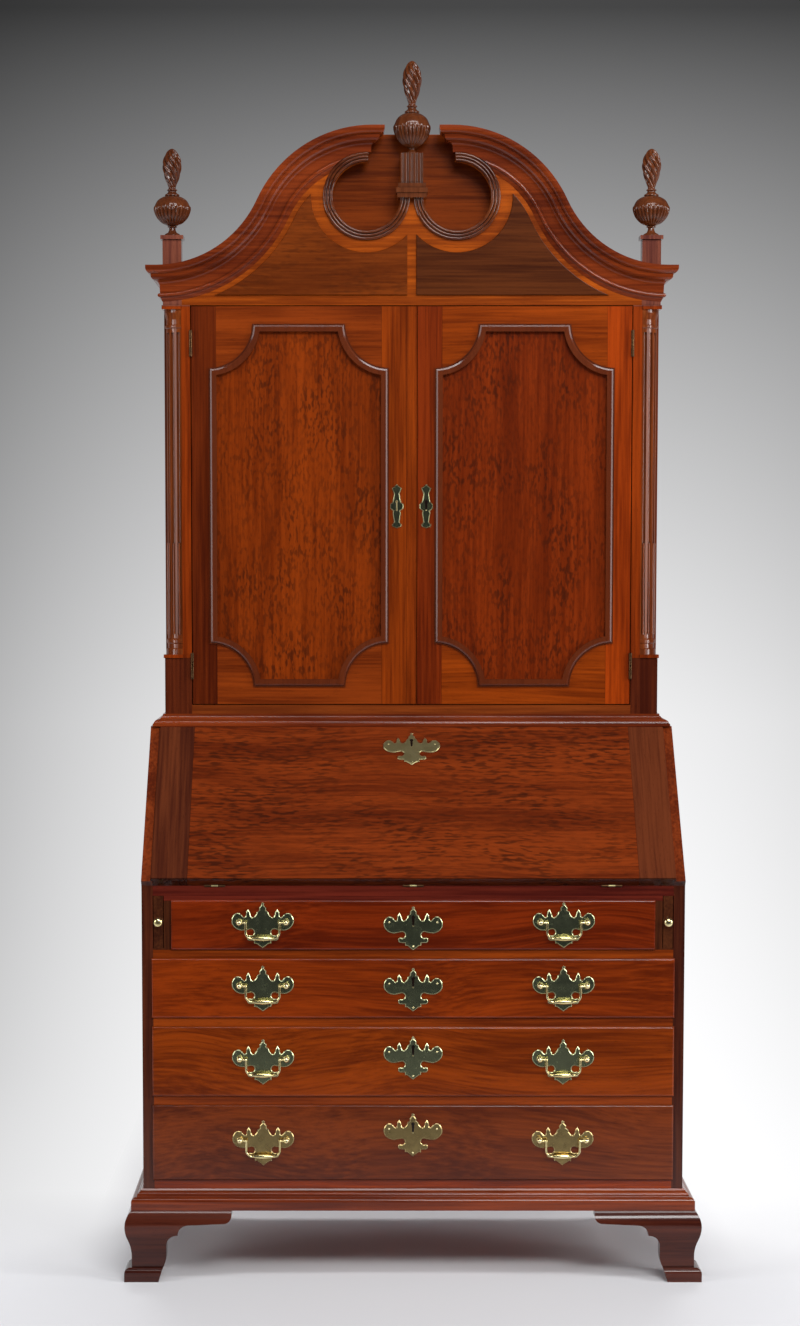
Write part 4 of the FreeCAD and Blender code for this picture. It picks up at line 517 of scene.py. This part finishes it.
def brass(name, clean, tarnished, rough, part=None, rim_wear_and_highlight=RIM_WEAR_AND_HIGHLIGHT):
    """Blotched brass; part is (axis, low, high, colour), a stretch of it in another colour."""
    made, tree = new_material(name)
    coords = add_node(tree, "TexCoord", {})["Object"]
    noise = {"Vector": coords, "Scale": 1 / (TARNISH_MM * MM), "Detail": 3.0}
    blotch = add_node(tree, "TexNoise", noise)[0]
    share = add_node(tree, "MapRange", {"Value": blotch, **BLOTCH_SPREAD})[0]
    colour = add_node(tree, "Mix", {0: share, 6: linear(clean), 7: linear(tarnished)}, **COLOURS)[2]
    worn = add_node(tree, "MapRange", {"Value": blotch, **BLOTCH_SPREAD, "To Min": rough - BLOTCH_LESS,
                                       "To Max": rough + BLOTCH_MORE})[0]
    rounded = add_node(tree, "Bevel", {"Radius": RIM_MM * MM})[0]
    true = add_node(tree, "NewGeometry", {})["Normal"]
    bent = add_node(tree, "VectorMath", {0: rounded, 1: true}, operation="DOT_PRODUCT")["Value"]
    rim = add_node(tree, "MapRange", {"Value": bent, **RIM_SPREAD})[0]
    # Painted highlight and wear: the rim takes a pale colour
    colour = add_node(tree, "Mix", {0: rim, 6: colour, 7: linear(rim_wear_and_highlight)}, **COLOURS)[2]
    if part:
        axis, low, high, other = part
        along = add_node(tree, "SeparateXYZ", {0: coords})[axis]
        span = {0: along, 1: (low + high) / 2, 2: (high - low) / 2}
        inside = add_node(tree, "Math", span, operation="COMPARE")[0]
        colour = add_node(tree, "Mix", {0: inside, 6: colour, 7: linear(other)}, **COLOURS)[2]
    worn = add_node(tree, "Mix", {0: rim, 2: worn, 3: RIM_ROUGH}, **NUMBERS)[0]
    shader = add_node(tree, "BsdfPrincipled", {"Base Color": colour, "Metallic": 1.0, "Roughness": worn})[0]
    add_node(tree, "OutputMaterial", {0: shader})
    return made


print("tarnish blotches in mm:", TARNISH_MM, "rims in mm:", RIM_MM)

# %% [markdown]
# Most plates have gone grey-green, and the fall's is the palest. Those of the lowest drawer are painted
# yellower, as a painted reflection of the pale floor in front of them. The posts and bails, which hands
# keep bright, are still gold, and the hinges are brown. A plate and its posts are one node, and so are a
# door's plate and its hinge leaves, so each gets a second colour by its place.

# %% Tinting the brasses
PLATE_MM = 2
POST_START_MM = 0.5
POST_REACH = 0.1
HINGE_NEAR = 0.3
HINGE_FAR = 0.6
PLATE_GREEN = "#a4a882"
DOOR_TARNISH = "#7f8262"
GOLD = "#f0e2ac"
HINGE_BROWN = "#553c26"

plate_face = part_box("drawer_1_brasses")[1].y - PLATE_MM * MM
post_root = plate_face - POST_START_MM * MM
posts = ("Y", post_root - POST_REACH, post_root, GOLD)
left_hinges = ("X", -HINGE_FAR, -HINGE_NEAR, HINGE_BROWN)
right_hinges = ("X", HINGE_NEAR, HINGE_FAR, HINGE_BROWN)
pull_brass = brass("lacquered_pull_brass", PLATE_GREEN, "#8f9472", 0.24, posts)
# Painted reflection: a yellower brass for the lowest drawer, as if mirroring the pale floor
pull_brass_painted_reflection = brass("pull_brass_with_painted_floor_reflection", "#aa9462", "#937f54", 0.24, posts)
fall_brass = brass("lacquered_fall_brass", "#a89d70", "#968d66", 0.36)
left_door_brass = brass("left_door_brass", PLATE_GREEN, DOOR_TARNISH, 0.2, left_hinges)
right_door_brass = brass("right_door_brass", PLATE_GREEN, DOOR_TARNISH, 0.2, right_hinges)
handled_brass = brass("handled_brass", GOLD, "#dcc98a", 0.22)
hinge_brass = brass("brown_hinge_brass", HINGE_BROWN, "#453222", 0.4, rim_wear_and_highlight=HINGE_BROWN)
print("plate faces at y =", round(plate_face, 4))

# %% [markdown]
# ## Dressing the boards
# Each node takes the finish of its own board: the tones are those of old mahogany, from plum on the case to
# orange on the pediment. The shifts move the pattern so that no two boards match.

# %% Planing the boards of the case
# Sides of the desk: the darkest boards, plum brown; those of the bookcase are warmer and lighter, which is
# partly painted light that lifts the shade beside the quarter columns
case_side = mahogany("case_side_mahogany", "z", "#451d0f", (0.3, 0.1, 0.7))
book_side = mahogany("bookcase_side_mahogany", "z", "#5c2711", (0.8, 0.5, 0.2))
# Moulding and feet: grain that follows the run, so that the long lights on a profile stay unbroken
moulded = mahogany("moulded_mahogany", "round", "#6f2b0e", (0.6, 0.2, 0.1))
foot_wood = mahogany("foot_mahogany", "round", "#441b10", (0.5, 0.5, 0.3), rough=0.33)
# Pediment: a board that has faded to orange, with a browner bonnet behind it
orange_board = mahogany("pediment_mahogany", "x", "#95420b", (0.9, 0.3, 0.5))
bonnet_wood = mahogany("bonnet_mahogany", "x", "#712e09", (0.5, 0.7, 0.3))
# Turned and reeded work: dark, and darker still in its hollows with wax and painted shade
column_wood = mahogany("column_mahogany", "z", "#6f3313", (0.2, 0.8, 0.4))
ring_wood = mahogany("ring_mahogany", "x", "#562812", (0.3, 0.5, 0.8))
# Carving and the beads of the doors: a calm figure under a full, glassy polish
carved_wood = mahogany("carved_mahogany", "z", "#5c2e16", (0.7, 0.9, 0.2), 0.6, rough=0.3, coat=0.9)
door_bead = mahogany("door_moulding_mahogany", "z", "#5a250e", (0.4, 0.3, 0.7), 0.3, coat=1.0)
# Lopers: their end shows almost black brown
loper_wood = mahogany("loper_mahogany", "y", "#43200f", (0.1, 0.9, 0.6))
# Inside: mahogany with little polish
inside_wood = mahogany("inside_mahogany", "x", "#75330f", (0.8, 0.2, 0.6), 0.8, rough=0.5, coat=0.4)
# Linings of poplar and back boards of pine: pale, dry and hardly polished
plain_wood = mahogany("poplar_drawer_linings", "x", "#a07c48", (0.2, 0.2, 0.2), 0.5, rough=0.7, coat=0.1)
back_wood = mahogany("pine_back_boards", "z", "#84623a", (0.6, 0.4, 0.8), 0.45, rough=0.75, coat=0.05)
print("woods so far:", sum("mahogany" in made.name for made in bpy.data.materials), "of mahogany")

# %% [markdown]
# A table says which nodes take each finish. The nodes that are joined from several boards come after it.

# %% Choosing the boards
CHOICES = (
    (case_side, "desk_sides"),
    (book_side, "bookcase_sides"),
    (moulded, "base_moulding", "waist_moulding", "cornice"),
    (foot_wood, "bracket_feet"),
    (orange_board, "pediment_board"),
    (bonnet_wood, "bonnet"),
    (column_wood, "quarter_columns"),
    (ring_wood, "scroll_rings"),
    (carved_wood, "finial_plinths", "finials"),
    (door_bead, "left_door_moulding", "right_door_moulding"),
    (loper_wood, "left_loper", "right_loper"),
    (inside_wood, "bookcase_shelves", "pigeonhole_gallery", "gallery_drawer_1", "gallery_drawer_2",
     "gallery_drawer_3"),
    (plain_wood, "drawer_runners"),
    (back_wood, "desk_back_boards", "bookcase_back"),
    (left_door_brass, "left_door_brasses"),
    (right_door_brass, "right_door_brasses"),
    (fall_brass, "fall_brasses"),
    (hinge_brass, "hinge_fixed_leaves"),
    (handled_brass, "left_loper_knob", "right_loper_knob"),
)
finishes = {name: finish for finish, *names in CHOICES for name in names}
print("nodes finished:", len(finishes))

# %% [markdown]
# The four drawer fronts were sawn from one plank, and each has its own tone: the top one is darker, as
# painted shadow under the fall, and the lowest is darker and browner, as painted shade low down. Their
# linings are plain poplar.

# %% Finishing the drawers
# Painted shade: the first tone is darker for the fall's shadow, the fourth for the shade low down
DRAWER_TONES_WITH_PAINTED_SHADE = {1: "#6a2105", 2: "#742905", 3: "#752d05", 4: "#602506"}
DRAWER_SHIFT = (0.37, 0.21, 0.13)
DRAWER_SWAY = 0.14

for number, tone in DRAWER_TONES_WITH_PAINTED_SHADE.items():
    shift = tuple(part * number for part in DRAWER_SHIFT)
    front = mahogany(f"drawer_{number}_mahogany", "x", tone, shift, sway=DRAWER_SWAY)
    finishes[f"drawer_{number}_front"] = front
    finishes[f"drawer_{number}_box"] = plain_wood
    finishes[f"drawer_{number}_brasses"] = pull_brass_painted_reflection if number == 4 else pull_brass
    for side in ("left", "right"):
        finishes[f"drawer_{number}_{side}_bail"] = handled_brass
print("nodes finished:", len(finishes))

# %% [markdown]
# The rails between the drawers are one node with the two uprights beside the top drawer, which part it
# from the lopers, and with the rail above it. The uprights are painted dark as the shade of the gaps
# round them, and the rail above is painted darker and redder as the shadow and reflection of the fall.
# They lie above each other, so they are joined by height, and so are the case's level boards, of which
# only the lowest and the highest show their edges; the highest takes the same painted shadow.

# %% Finishing the dividers
RAIL = ("x", "#7b3108")
# Painted shadow and reflection of the fall in the top rail's tone, painted shade in the uprights' tone
RAIL_IN_PAINTED_SHADOW = ("x", "#561b11")
UPRIGHT_IN_PAINTED_SHADE = ("z", "#401d0d")
BOTTOM_BOARD = ("x", "#7e2c05")
RAIL_LAP_MM = 2
BOTTOM_BELOW = 0.3
TOP_ABOVE = 0.6

top_low, top_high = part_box("drawer_1_front")
finishes["drawer_dividers"] = joined("divider_mahogany", "Z", (top_low.z, top_high.z - RAIL_LAP_MM * MM),
                                     (RAIL, UPRIGHT_IN_PAINTED_SHADE, RAIL_IN_PAINTED_SHADOW), (0.1, 0.4, 0.2))
finishes["desk_boards"] = joined("level_board_mahogany", "Z", (BOTTOM_BELOW, TOP_ABOVE),
                                 (BOTTOM_BOARD, RAIL, RAIL_IN_PAINTED_SHADOW), (0.4, 0.1, 0.6))
print("uprights from z =", round(top_low.z, 3), "to", round(top_high.z, 3))

# %% [markdown]
# The two curved panels of the pediment are one node too, and the right one is the darker. They meet at the
# middle, so the second joint lies there, and the first lies left of both, where no board is.

# %% Finishing the pediment panels
LEFT_OF_ALL = -1.0
LEFT_PANEL = ("x", "#692d09")
RIGHT_PANEL = ("x", "#4b220c")
PLAQUE_FLECKS = (0.3, (24, 6))

finishes["tympanum_panels"] = joined("plaque_mahogany", "X", (LEFT_OF_ALL, 0.0),
                                     (LEFT_PANEL, LEFT_PANEL, RIGHT_PANEL), (0.4, 0.6, 0.9), 0.7, 0.02,
                                     PLAQUE_FLECKS)
print("nodes finished:", len(finishes))

# %% [markdown]
# On the doors the stiles run the full height and the rails fit between them, so the two joints lie where the
# panel ends. The panels are the showiest wood of all.

# %% Finishing the doors
STILE_TONES = {"left": ("#581e05", "#7b2f05"), "right": ("#6a2305", "#8a3105")}
RAIL_TONES = {"left": "#742d08", "right": "#7e3105"}
PANEL_TONES = {"left": "#792d05", "right": "#6f2505"}
PANEL_FLECKS = (0.62, (15, 5.5))

for number, side in enumerate(("left", "right"), 1):
    panel_low, panel_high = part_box(f"{side}_door_panel")
    first_stile, second_stile = STILE_TONES[side]
    boards = (("z", first_stile), ("x", RAIL_TONES[side]), ("z", second_stile))
    finishes[f"{side}_door_frame"] = joined(f"{side}_frame_mahogany", "X", (panel_low.x, panel_high.x),
                                            boards, (0.31 * number, 0.11, 0.47), 0.9, 0.03)
    shift = (0.53 * number, 0.29 * number, 0.17)
    finishes[f"{side}_door_panel"] = mahogany(f"{side}_panel_mahogany", "z", PANEL_TONES[side], shift, 0.7,
                                              0.03, PANEL_FLECKS)
print("panels in metres wide:", round(panel_high.x - panel_low.x, 3))

# %% [markdown]
# On the fall two battens close the ends of a wide board. Each front stile of the bookcase stands on a dark
# plinth block, and the plain post of a corner finial stands on its head.

# %% Finishing the fall and the front stiles
FALL_FIELD_HALF = 442.2 * MM
BATTEN = ("slope", "#552613")
FALL_FIELD = ("x", "#712b0b")
FALL_FLECKS = (0.7, (24, 5.5))
PLINTH_BLOCK_MM = 94
BLOCK = ("z", "#501e0b")
STILE = ("z", "#782b05")
# Painted sheen: the post's tone is greyer and pinker than the stile's
POST_WITH_PAINTED_SHEEN = ("z", "#6b392c")

fall_wood = joined("fall_mahogany", "X", (-FALL_FIELD_HALF, FALL_FIELD_HALF), (BATTEN, FALL_FIELD, BATTEN),
                   (0.7, 0.33, 0.9), 0.85, 0.05, FALL_FLECKS)
finishes["fall_board"] = fall_wood
door_low, door_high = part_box("left_door_frame")
finishes["bookcase_front_frame"] = joined(
    "stile_and_post_mahogany", "Z", (door_low.z + PLINTH_BLOCK_MM * MM, door_high.z), (BLOCK, STILE, POST_WITH_PAINTED_SHEEN),
    (0.2, 0.8, 0.4))
print("nodes finished:", len(finishes), "of", len(nodes))

# %% [markdown]
# Some edges take one more colour layer. The fall's lower edge is end grain and faces down, and it
# is painted almost black as shade. The layer sits between a finish's colour and its shader.

# %% Darkening the fall's lower edge
EDGE_MM = 3
EDGE_SHADE = 0.3


def multiply_colour_by(finish, layer):
    """Multiplies a finish's colour by a layer, which is an output in the finish's own tree."""
    tree = finish.node_tree
    shader = tree.nodes["Principled BSDF"]
    colour = shader.inputs["Base Color"].links[0].from_socket
    multiplied = add_node(tree, "Mix", {0: 1.0, 6: colour, 7: layer}, **TIMES)[2]
    tree.links.new(multiplied, shader.inputs["Base Color"])


tree = fall_wood.node_tree
lowest = min(vertex.co.y + vertex.co.z for vertex in nodes["fall_board"].data.vertices)
coords = add_node(tree, "TexCoord", {})["Object"]
rise = add_node(tree, "VectorMath", {0: coords, 1: (0, 1, 1)}, operation="DOT_PRODUCT")["Value"]
# Painted shade: the colour falls to EDGE_SHADE along the downward-facing lower edge
multiply_colour_by(fall_wood, add_node(tree, "MapRange", {
    "Value": rise, "From Min": lowest + EDGE_MM * MM, "From Max": lowest + 2 * EDGE_MM * MM,
    "To Min": EDGE_SHADE})[0])
print("lower edge at y + z =", round(lowest, 4))

# %% [markdown]
# The sloping edges of the desk sides, on both sides of the fall, are made lighter and more orange than the
# sides. Only these faces look forward and up at once, so the direction of a face tells them apart.

# %% Lightening the sloping edges
OUTWARD = Vector((0, -1, 1)).normalized()
FACING_SPREAD = {"From Min": 0.85, "From Max": 0.95}
AS_TONED = (1, 1, 1, 1)
SLOPE_LIGHTENING = (2.7, 2.1, 1.1, 1)

tree = case_side.node_tree
facing = add_node(tree, "NewGeometry", {})["Normal"]
along = add_node(tree, "VectorMath", {0: facing, 1: OUTWARD}, operation="DOT_PRODUCT")["Value"]
share = add_node(tree, "MapRange", {"Value": along, **FACING_SPREAD})[0]
multiply_colour_by(case_side, add_node(tree, "Mix", {0: share, 6: AS_TONED, 7: SLOPE_LIGHTENING}, **COLOURS)[2])
print("rubbed edges face", [round(value, 2) for value in OUTWARD])

# %% [markdown]
# The finishes now go onto the nodes. A node keeps its mesh as the model brought it, and only the material in
# its slot is changed.

# %% Giving each node its finish
for name, finish in finishes.items():
    nodes[name].data.materials.clear()
    nodes[name].data.materials.append(finish)
print("unfinished nodes:", sorted(set(nodes) - set(finishes)))

# %% [markdown]
# ## The flame finials
# Each finial is turned on a lathe and then carved: a gadrooned cup under a smooth dome, a ringed neck, and a
# flame whose ribs climb in a spiral. Here too the blank is turned first, by spinning a profile round its
# axis, and the ribs are then cut by moving each vertex in towards the axis.

# %% Turning a blank
SPIN_STEPS = 160
MERGE_WITHIN = 1e-6
SMOOTH_UNDER = math.radians(50)


def flowing(points, cuts):
    """More points along a smooth line through the given ones."""
    ends = [points[0], *points, points[-1]]
    line = []
    for before, start, end, after in zip(ends, ends[1:], ends[2:], ends[3:]):
        for cut in range(cuts):
            t = cut / cuts
            line.append(tuple(
                0.5 * (2 * b + (c - a) * t + (2 * a - 5 * b + 4 * c - d) * t ** 2
                       + (3 * b - a - 3 * c + d) * t ** 3)
                for a, b, c, d in zip(before, start, end, after)))
    return [*line, points[-1]]


def turned(name, profile):
    """A blank from a line of (radius, height) points, drawn by extruding one vertex and then spun."""
    bpy.ops.object.select_all(action="DESELECT")
    bpy.ops.mesh.primitive_circle_add(vertices=3, radius=MM)
    blank = bpy.context.active_object
    blank.name = name
    bpy.ops.object.mode_set(mode="EDIT")
    bpy.ops.mesh.select_mode(type="VERT")
    bpy.ops.mesh.select_all(action="SELECT")
    bpy.ops.mesh.merge(type="CENTER")
    pen = Vector((profile[0][0], 0, profile[0][1]))
    bpy.ops.transform.translate(value=pen)
    for radius, height in profile[1:]:
        step = Vector((radius, 0, height)) - pen
        bpy.ops.mesh.extrude_region_move(TRANSFORM_OT_translate={"value": step})
        pen += step
    bpy.ops.mesh.select_all(action="SELECT")
    bpy.ops.mesh.spin(steps=SPIN_STEPS, angle=2 * math.pi, center=(0, 0, 0), axis=(0, 0, 1))
    bpy.ops.mesh.select_all(action="SELECT")
    bpy.ops.mesh.remove_doubles(threshold=MERGE_WITHIN)
    bpy.ops.mesh.normals_make_consistent(inside=False)
    bpy.ops.object.mode_set(mode="OBJECT")
    bpy.ops.object.shade_smooth_by_angle(angle=SMOOTH_UNDER)
    return blank


print("steps round each turning:", SPIN_STEPS)

# %% [markdown]
# A rib is a rounded ridge beside a sharp groove, which is what the size of a cosine looks like. The flame's
# ribs lean as they climb. The cup's gadroons stand upright, and each ends in a round top below the dome.

# %% Carving the flame and the cup
FLAME_RIBS = 8
FLAME_TURN = 0.5
FLAME_GROOVE = 0.26
FLAME_START = 0.12
FLAME_END = 0.9
CUP_LOBES = 26
CUP_GROOVE = 0.12
LOBE_SHOULDER = 0.8
LOBE_START = 0.15
LOBE_END = 0.12
LOBE_SWELL = 1.15
LOBE_SINK = 0.75


def smooth_step(value, low, high):
    share = min(max((value - low) / (high - low), 0), 1)
    return share * share * (3 - 2 * share)


def carve_flame(piece, foot, tip):
    for vertex in piece.data.vertices:
        share = (vertex.co.z - foot) / (tip - foot)
        angle = math.atan2(vertex.co.y, vertex.co.x) + 2 * math.pi * FLAME_TURN * share
        groove = 1 - abs(math.cos(FLAME_RIBS * angle / 2))
        depth = FLAME_GROOVE * smooth_step(share, 0.0, FLAME_START) * smooth_step(share, 1.0, FLAME_END)
        vertex.co.x *= 1 - depth * groove
        vertex.co.y *= 1 - depth * groove


def carve_cup(piece, low, high):
    tall = high - low
    for vertex in piece.data.vertices:
        angle = math.atan2(vertex.co.y, vertex.co.x)
        ridge = abs(math.cos(CUP_LOBES * angle / 2))
        top = low + tall * (LOBE_SHOULDER + (1 - LOBE_SHOULDER) * ridge)
        inside = smooth_step(vertex.co.z, low, low + LOBE_START * tall)
        inside *= smooth_step(vertex.co.z, top, top - LOBE_END * tall)
        swell = inside * CUP_GROOVE * (LOBE_SWELL * ridge - LOBE_SINK)
        vertex.co.x *= 1 + swell
        vertex.co.y *= 1 + swell


print("ribs on a flame:", FLAME_RIBS, "lobes on a cup:", CUP_LOBES)

# %% [markdown]
# The whole finial is two turnings, an urn on its stem with a ringed neck, and a flame. Each part of a profile
# gives radii in millimetres against shares of that part's height, so the taller middle finial and the
# shorter side ones can share them.

# %% Drawing the finial
STEM_LINE = [(0, 0), (15.5, 0), (16, 0.1), (14.5, 0.2), (9, 0.34), (6.6, 0.6), (6.4, 0.8), (9.5, 0.86),
             (9.8, 0.94), (7, 1)]
URN_LINE = [(9.5, 0.0), (20, 0.1), (30, 0.28), (35, 0.48), (36, 0.6), (34.5, 0.72), (29, 0.87), (20, 0.97),
            (14, 1.0)]
NECK_LINE = [(14.8, 0.06), (14.6, 0.2), (11, 0.32), (8.6, 0.46), (8.2, 0.58), (10.2, 0.66), (10.2, 0.76),
             (7.4, 0.86), (7.2, 1.0)]
FLAME_LINE = [(7, 0), (9.5, 0.08), (13.5, 0.2), (17.6, 0.38), (19.5, 0.55), (18.6, 0.68), (14.5, 0.83),
              (8.5, 0.94), (3.5, 0.988), (0, 1)]
URN_CUTS = 6
NECK_CUTS = 3
FLAME_CUTS = 9
CUP_FOOT = 0.02
CUP_HEAD = 0.7


def drawn(line, foot, tall):
    return [(radius * MM, foot + share * tall) for radius, share in line]


def finial(name, place, stem, urn, neck, flame):
    """A whole finial standing on place; the heights are those of the CAD turning, in metres."""
    urn_top = stem + urn
    flame_foot = urn_top + neck
    profile = drawn(STEM_LINE, 0, stem)
    profile += flowing(drawn(URN_LINE, stem, urn), URN_CUTS)
    profile += flowing(drawn(NECK_LINE, urn_top, neck), NECK_CUTS)
    profile.append((0, flame_foot))
    body = turned(name + "_urn", profile)
    carve_cup(body, stem + CUP_FOOT * urn, stem + CUP_HEAD * urn)
    outline = flowing(drawn(FLAME_LINE, flame_foot, flame), FLAME_CUTS)
    fire = turned(name + "_flame", [(0, flame_foot), *outline])
    carve_flame(fire, flame_foot, flame_foot + flame)
    for piece in (body, fire):
        piece.data.transform(Matrix.Translation(place))
        hand_over(piece, "case", carved_wood)
        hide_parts("finials")
    print(name, "faces:", len(body.data.polygons) + len(fire.data.polygons))


print("urn in mm wide:", 2 * max(radius for radius, share in URN_LINE))

# %% [markdown]
# The plinths say where the finials stand: one in the middle of the pediment and one on each corner post.

# %% Standing the finials on their plinths
POST_HALF = 19 * MM
POST_DEPTH_HALF = 18.25 * MM
PLINTH_DEPTH_HALF = 18 * MM
CENTRE_HEIGHTS = (12 * MM, 68 * MM, 19.5 * MM, 85 * MM)
SIDE_HEIGHTS = (20 * MM, 59 * MM, 17.5 * MM, 78 * MM)

plinth_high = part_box("finial_plinths")[1]
post_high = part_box("bookcase_front_frame")[1]
side_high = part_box("bookcase_sides")[1]
front_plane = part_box("pediment_board")[0].y
finial("centre_finial", Vector((0, plinth_high.y - PLINTH_DEPTH_HALF, plinth_high.z)), *CENTRE_HEIGHTS)
for side, sign in (("left", -1), ("right", 1)):
    place = Vector((sign * (side_high.x - POST_HALF), front_plane + POST_DEPTH_HALF, post_high.z))
    finial(f"{side}_finial", place, *SIDE_HEIGHTS)
print("posts end at z =", round(post_high.z, 4))

# %% [markdown]
# ## Pins and keyholes
# Small round-headed brass pins hold the lock plates: one in each ear and one in the bottom point. Half a
# ball, pressed flatter, makes the head. It is modelled once and copied, and each copy has its own mesh,
# moved to its place.

# %% Filing a pin head
PIN_RADIUS = 2.1 * MM
PIN_FLATTENED = (1, 0.6, 1)
PIN_SMOOTH_UNDER = math.radians(40)


def copied(pattern, name, place):
    """A copy with its own mesh, put in its place in that mesh."""
    copy = pattern.copy()
    copy.data = pattern.data.copy()
    copy.name = name
    bpy.context.collection.objects.link(copy)
    copy.data.transform(place)
    return copy


bpy.ops.object.select_all(action="DESELECT")
bpy.ops.mesh.primitive_uv_sphere_add(segments=20, ring_count=12, radius=PIN_RADIUS)
pin_head = bpy.context.active_object
bpy.ops.object.mode_set(mode="EDIT")
bpy.ops.mesh.select_all(action="SELECT")
bpy.ops.mesh.bisect(plane_co=(0, 0, 0), plane_no=(0, 1, 0), use_fill=True, clear_outer=True)
bpy.ops.mesh.select_all(action="SELECT")
bpy.ops.transform.resize(value=PIN_FLATTENED, center_override=(0, 0, 0))
bpy.ops.object.mode_set(mode="OBJECT")
bpy.ops.object.shade_smooth_by_angle(angle=PIN_SMOOTH_UNDER)
print("pin head faces:", len(pin_head.data.polygons))

# %% [markdown]
# A keyhole is a round head over a slot, and in it is the dark of the lock. A small black plate in the mouth
# of the hole paints that dark as shade: a disc whose lower edge is drawn down into a tongue.

# %% Cutting a keyhole plate
HOLE_RADIUS = 3.6 * MM
TONGUE = 12.5 * MM
TONGUE_BELOW = -0.8 * HOLE_RADIUS
WELL_DEPTH = 0.4 * MM
PROUD = 0.1 * MM

bpy.ops.object.select_all(action="DESELECT")
bpy.ops.mesh.primitive_circle_add(vertices=24, radius=HOLE_RADIUS, fill_type="NGON",
                                  rotation=(math.pi / 2, 0, 0))
key_well = bpy.context.active_object
bpy.ops.object.transform_apply(rotation=True)
bpy.ops.object.mode_set(mode="EDIT")
bpy.ops.mesh.select_mode(type="VERT")
bpy.ops.mesh.select_all(action="DESELECT")
bpy.ops.object.mode_set(mode="OBJECT")
for vertex in key_well.data.vertices:
    vertex.select = vertex.co.z < TONGUE_BELOW
bpy.ops.object.mode_set(mode="EDIT")
bpy.ops.transform.translate(value=(0, 0, -TONGUE))
bpy.ops.mesh.select_all(action="SELECT")
bpy.ops.mesh.extrude_region_move(TRANSFORM_OT_translate={"value": (0, -WELL_DEPTH, 0)})
bpy.ops.mesh.select_all(action="SELECT")
bpy.ops.mesh.normals_make_consistent(inside=False)
bpy.ops.object.mode_set(mode="OBJECT")
# Painted shade: the black plate stands for the shade inside the lock
keyhole_shade_wood = mahogany("keyhole_painted_shade_wood", "z", "#1a0d08", (0.3, 0.3, 0.3), rough=0.6)
print("keyhole plate corners:", len(key_well.data.vertices))

# %% [markdown]
# Each lock has its own place: on a drawer it is told by the middle of the front, and on the fall by the
# highest point of the plate, measured square to the slope.

# %% Finding the locks
LOCK_LIFT = {1: -6 * MM, 2: -2 * MM, 3: 8 * MM, 4: 16 * MM}
FALL_LOCK = Vector((0, -44.5 * MM, 1034.8 * MM))
PLATE_REACH = 70 * MM

locks = {}
for number, lift in LOCK_LIFT.items():
    low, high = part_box(f"drawer_{number}_front")
    locks[f"drawer_{number}"] = Matrix.Translation((0, plate_face, (low.z + high.z) / 2 + lift))
fall_points = [vertex.co for vertex in nodes["fall_brasses"].data.vertices]
near_lock = [point for point in fall_points if (point - FALL_LOCK).length < PLATE_REACH]
plate_height = max(point.dot(OUTWARD) for point in near_lock)
on_face = FALL_LOCK + OUTWARD * (plate_height - FALL_LOCK.dot(OUTWARD))
locks["fall"] = Matrix.Translation(on_face) @ Matrix.Rotation(-SLOPE, 4, "X")
print("locks:", ", ".join(locks))

# %% [markdown]
# A lock's own axes then place its three pins and its keyhole, whichever way the plate faces. The right door's
# narrow plate has a keyhole and no pins.

# %% Fitting pins and keyholes
EAR_PIN = (47 * MM, 12 * MM)
POINT_PIN = -36 * MM
PINS = (("left", -EAR_PIN[0], EAR_PIN[1]), ("right", *EAR_PIN), ("low", 0, POINT_PIN))
KEY_HEAD = 21.96 * MM
DOOR_LOCK = Vector((30 * MM, 0, 1525.9 * MM))
DOOR_KEY_HEAD = 9.49 * MM

for body, lock in locks.items():
    for label, x, z in PINS:
        pin = copied(pin_head, f"{body}_{label}_pin", lock @ Matrix.Translation((x, 0, z)))
        hand_over(pin, body, finishes[f"{body}_brasses"])
    mouth = lock @ Matrix.Translation((0, WELL_DEPTH - PROUD, KEY_HEAD))
    hand_over(copied(key_well, f"{body}_keyhole", mouth), body, keyhole_shade_wood)
door_points = [vertex.co for vertex in nodes["right_door_brasses"].data.vertices]
door_face = min(point.y for point in door_points if point.x < 2 * DOOR_LOCK.x)
mouth = Matrix.Translation(DOOR_LOCK + Vector((0, door_face + WELL_DEPTH - PROUD, DOOR_KEY_HEAD)))
hand_over(copied(key_well, "right_door_keyhole", mouth), "right_door", keyhole_shade_wood)
for pattern in (pin_head, key_well):
    bpy.data.objects.remove(pattern)
print("pins:", len(PINS) * len(locks), "keyholes:", len(locks) + 1)
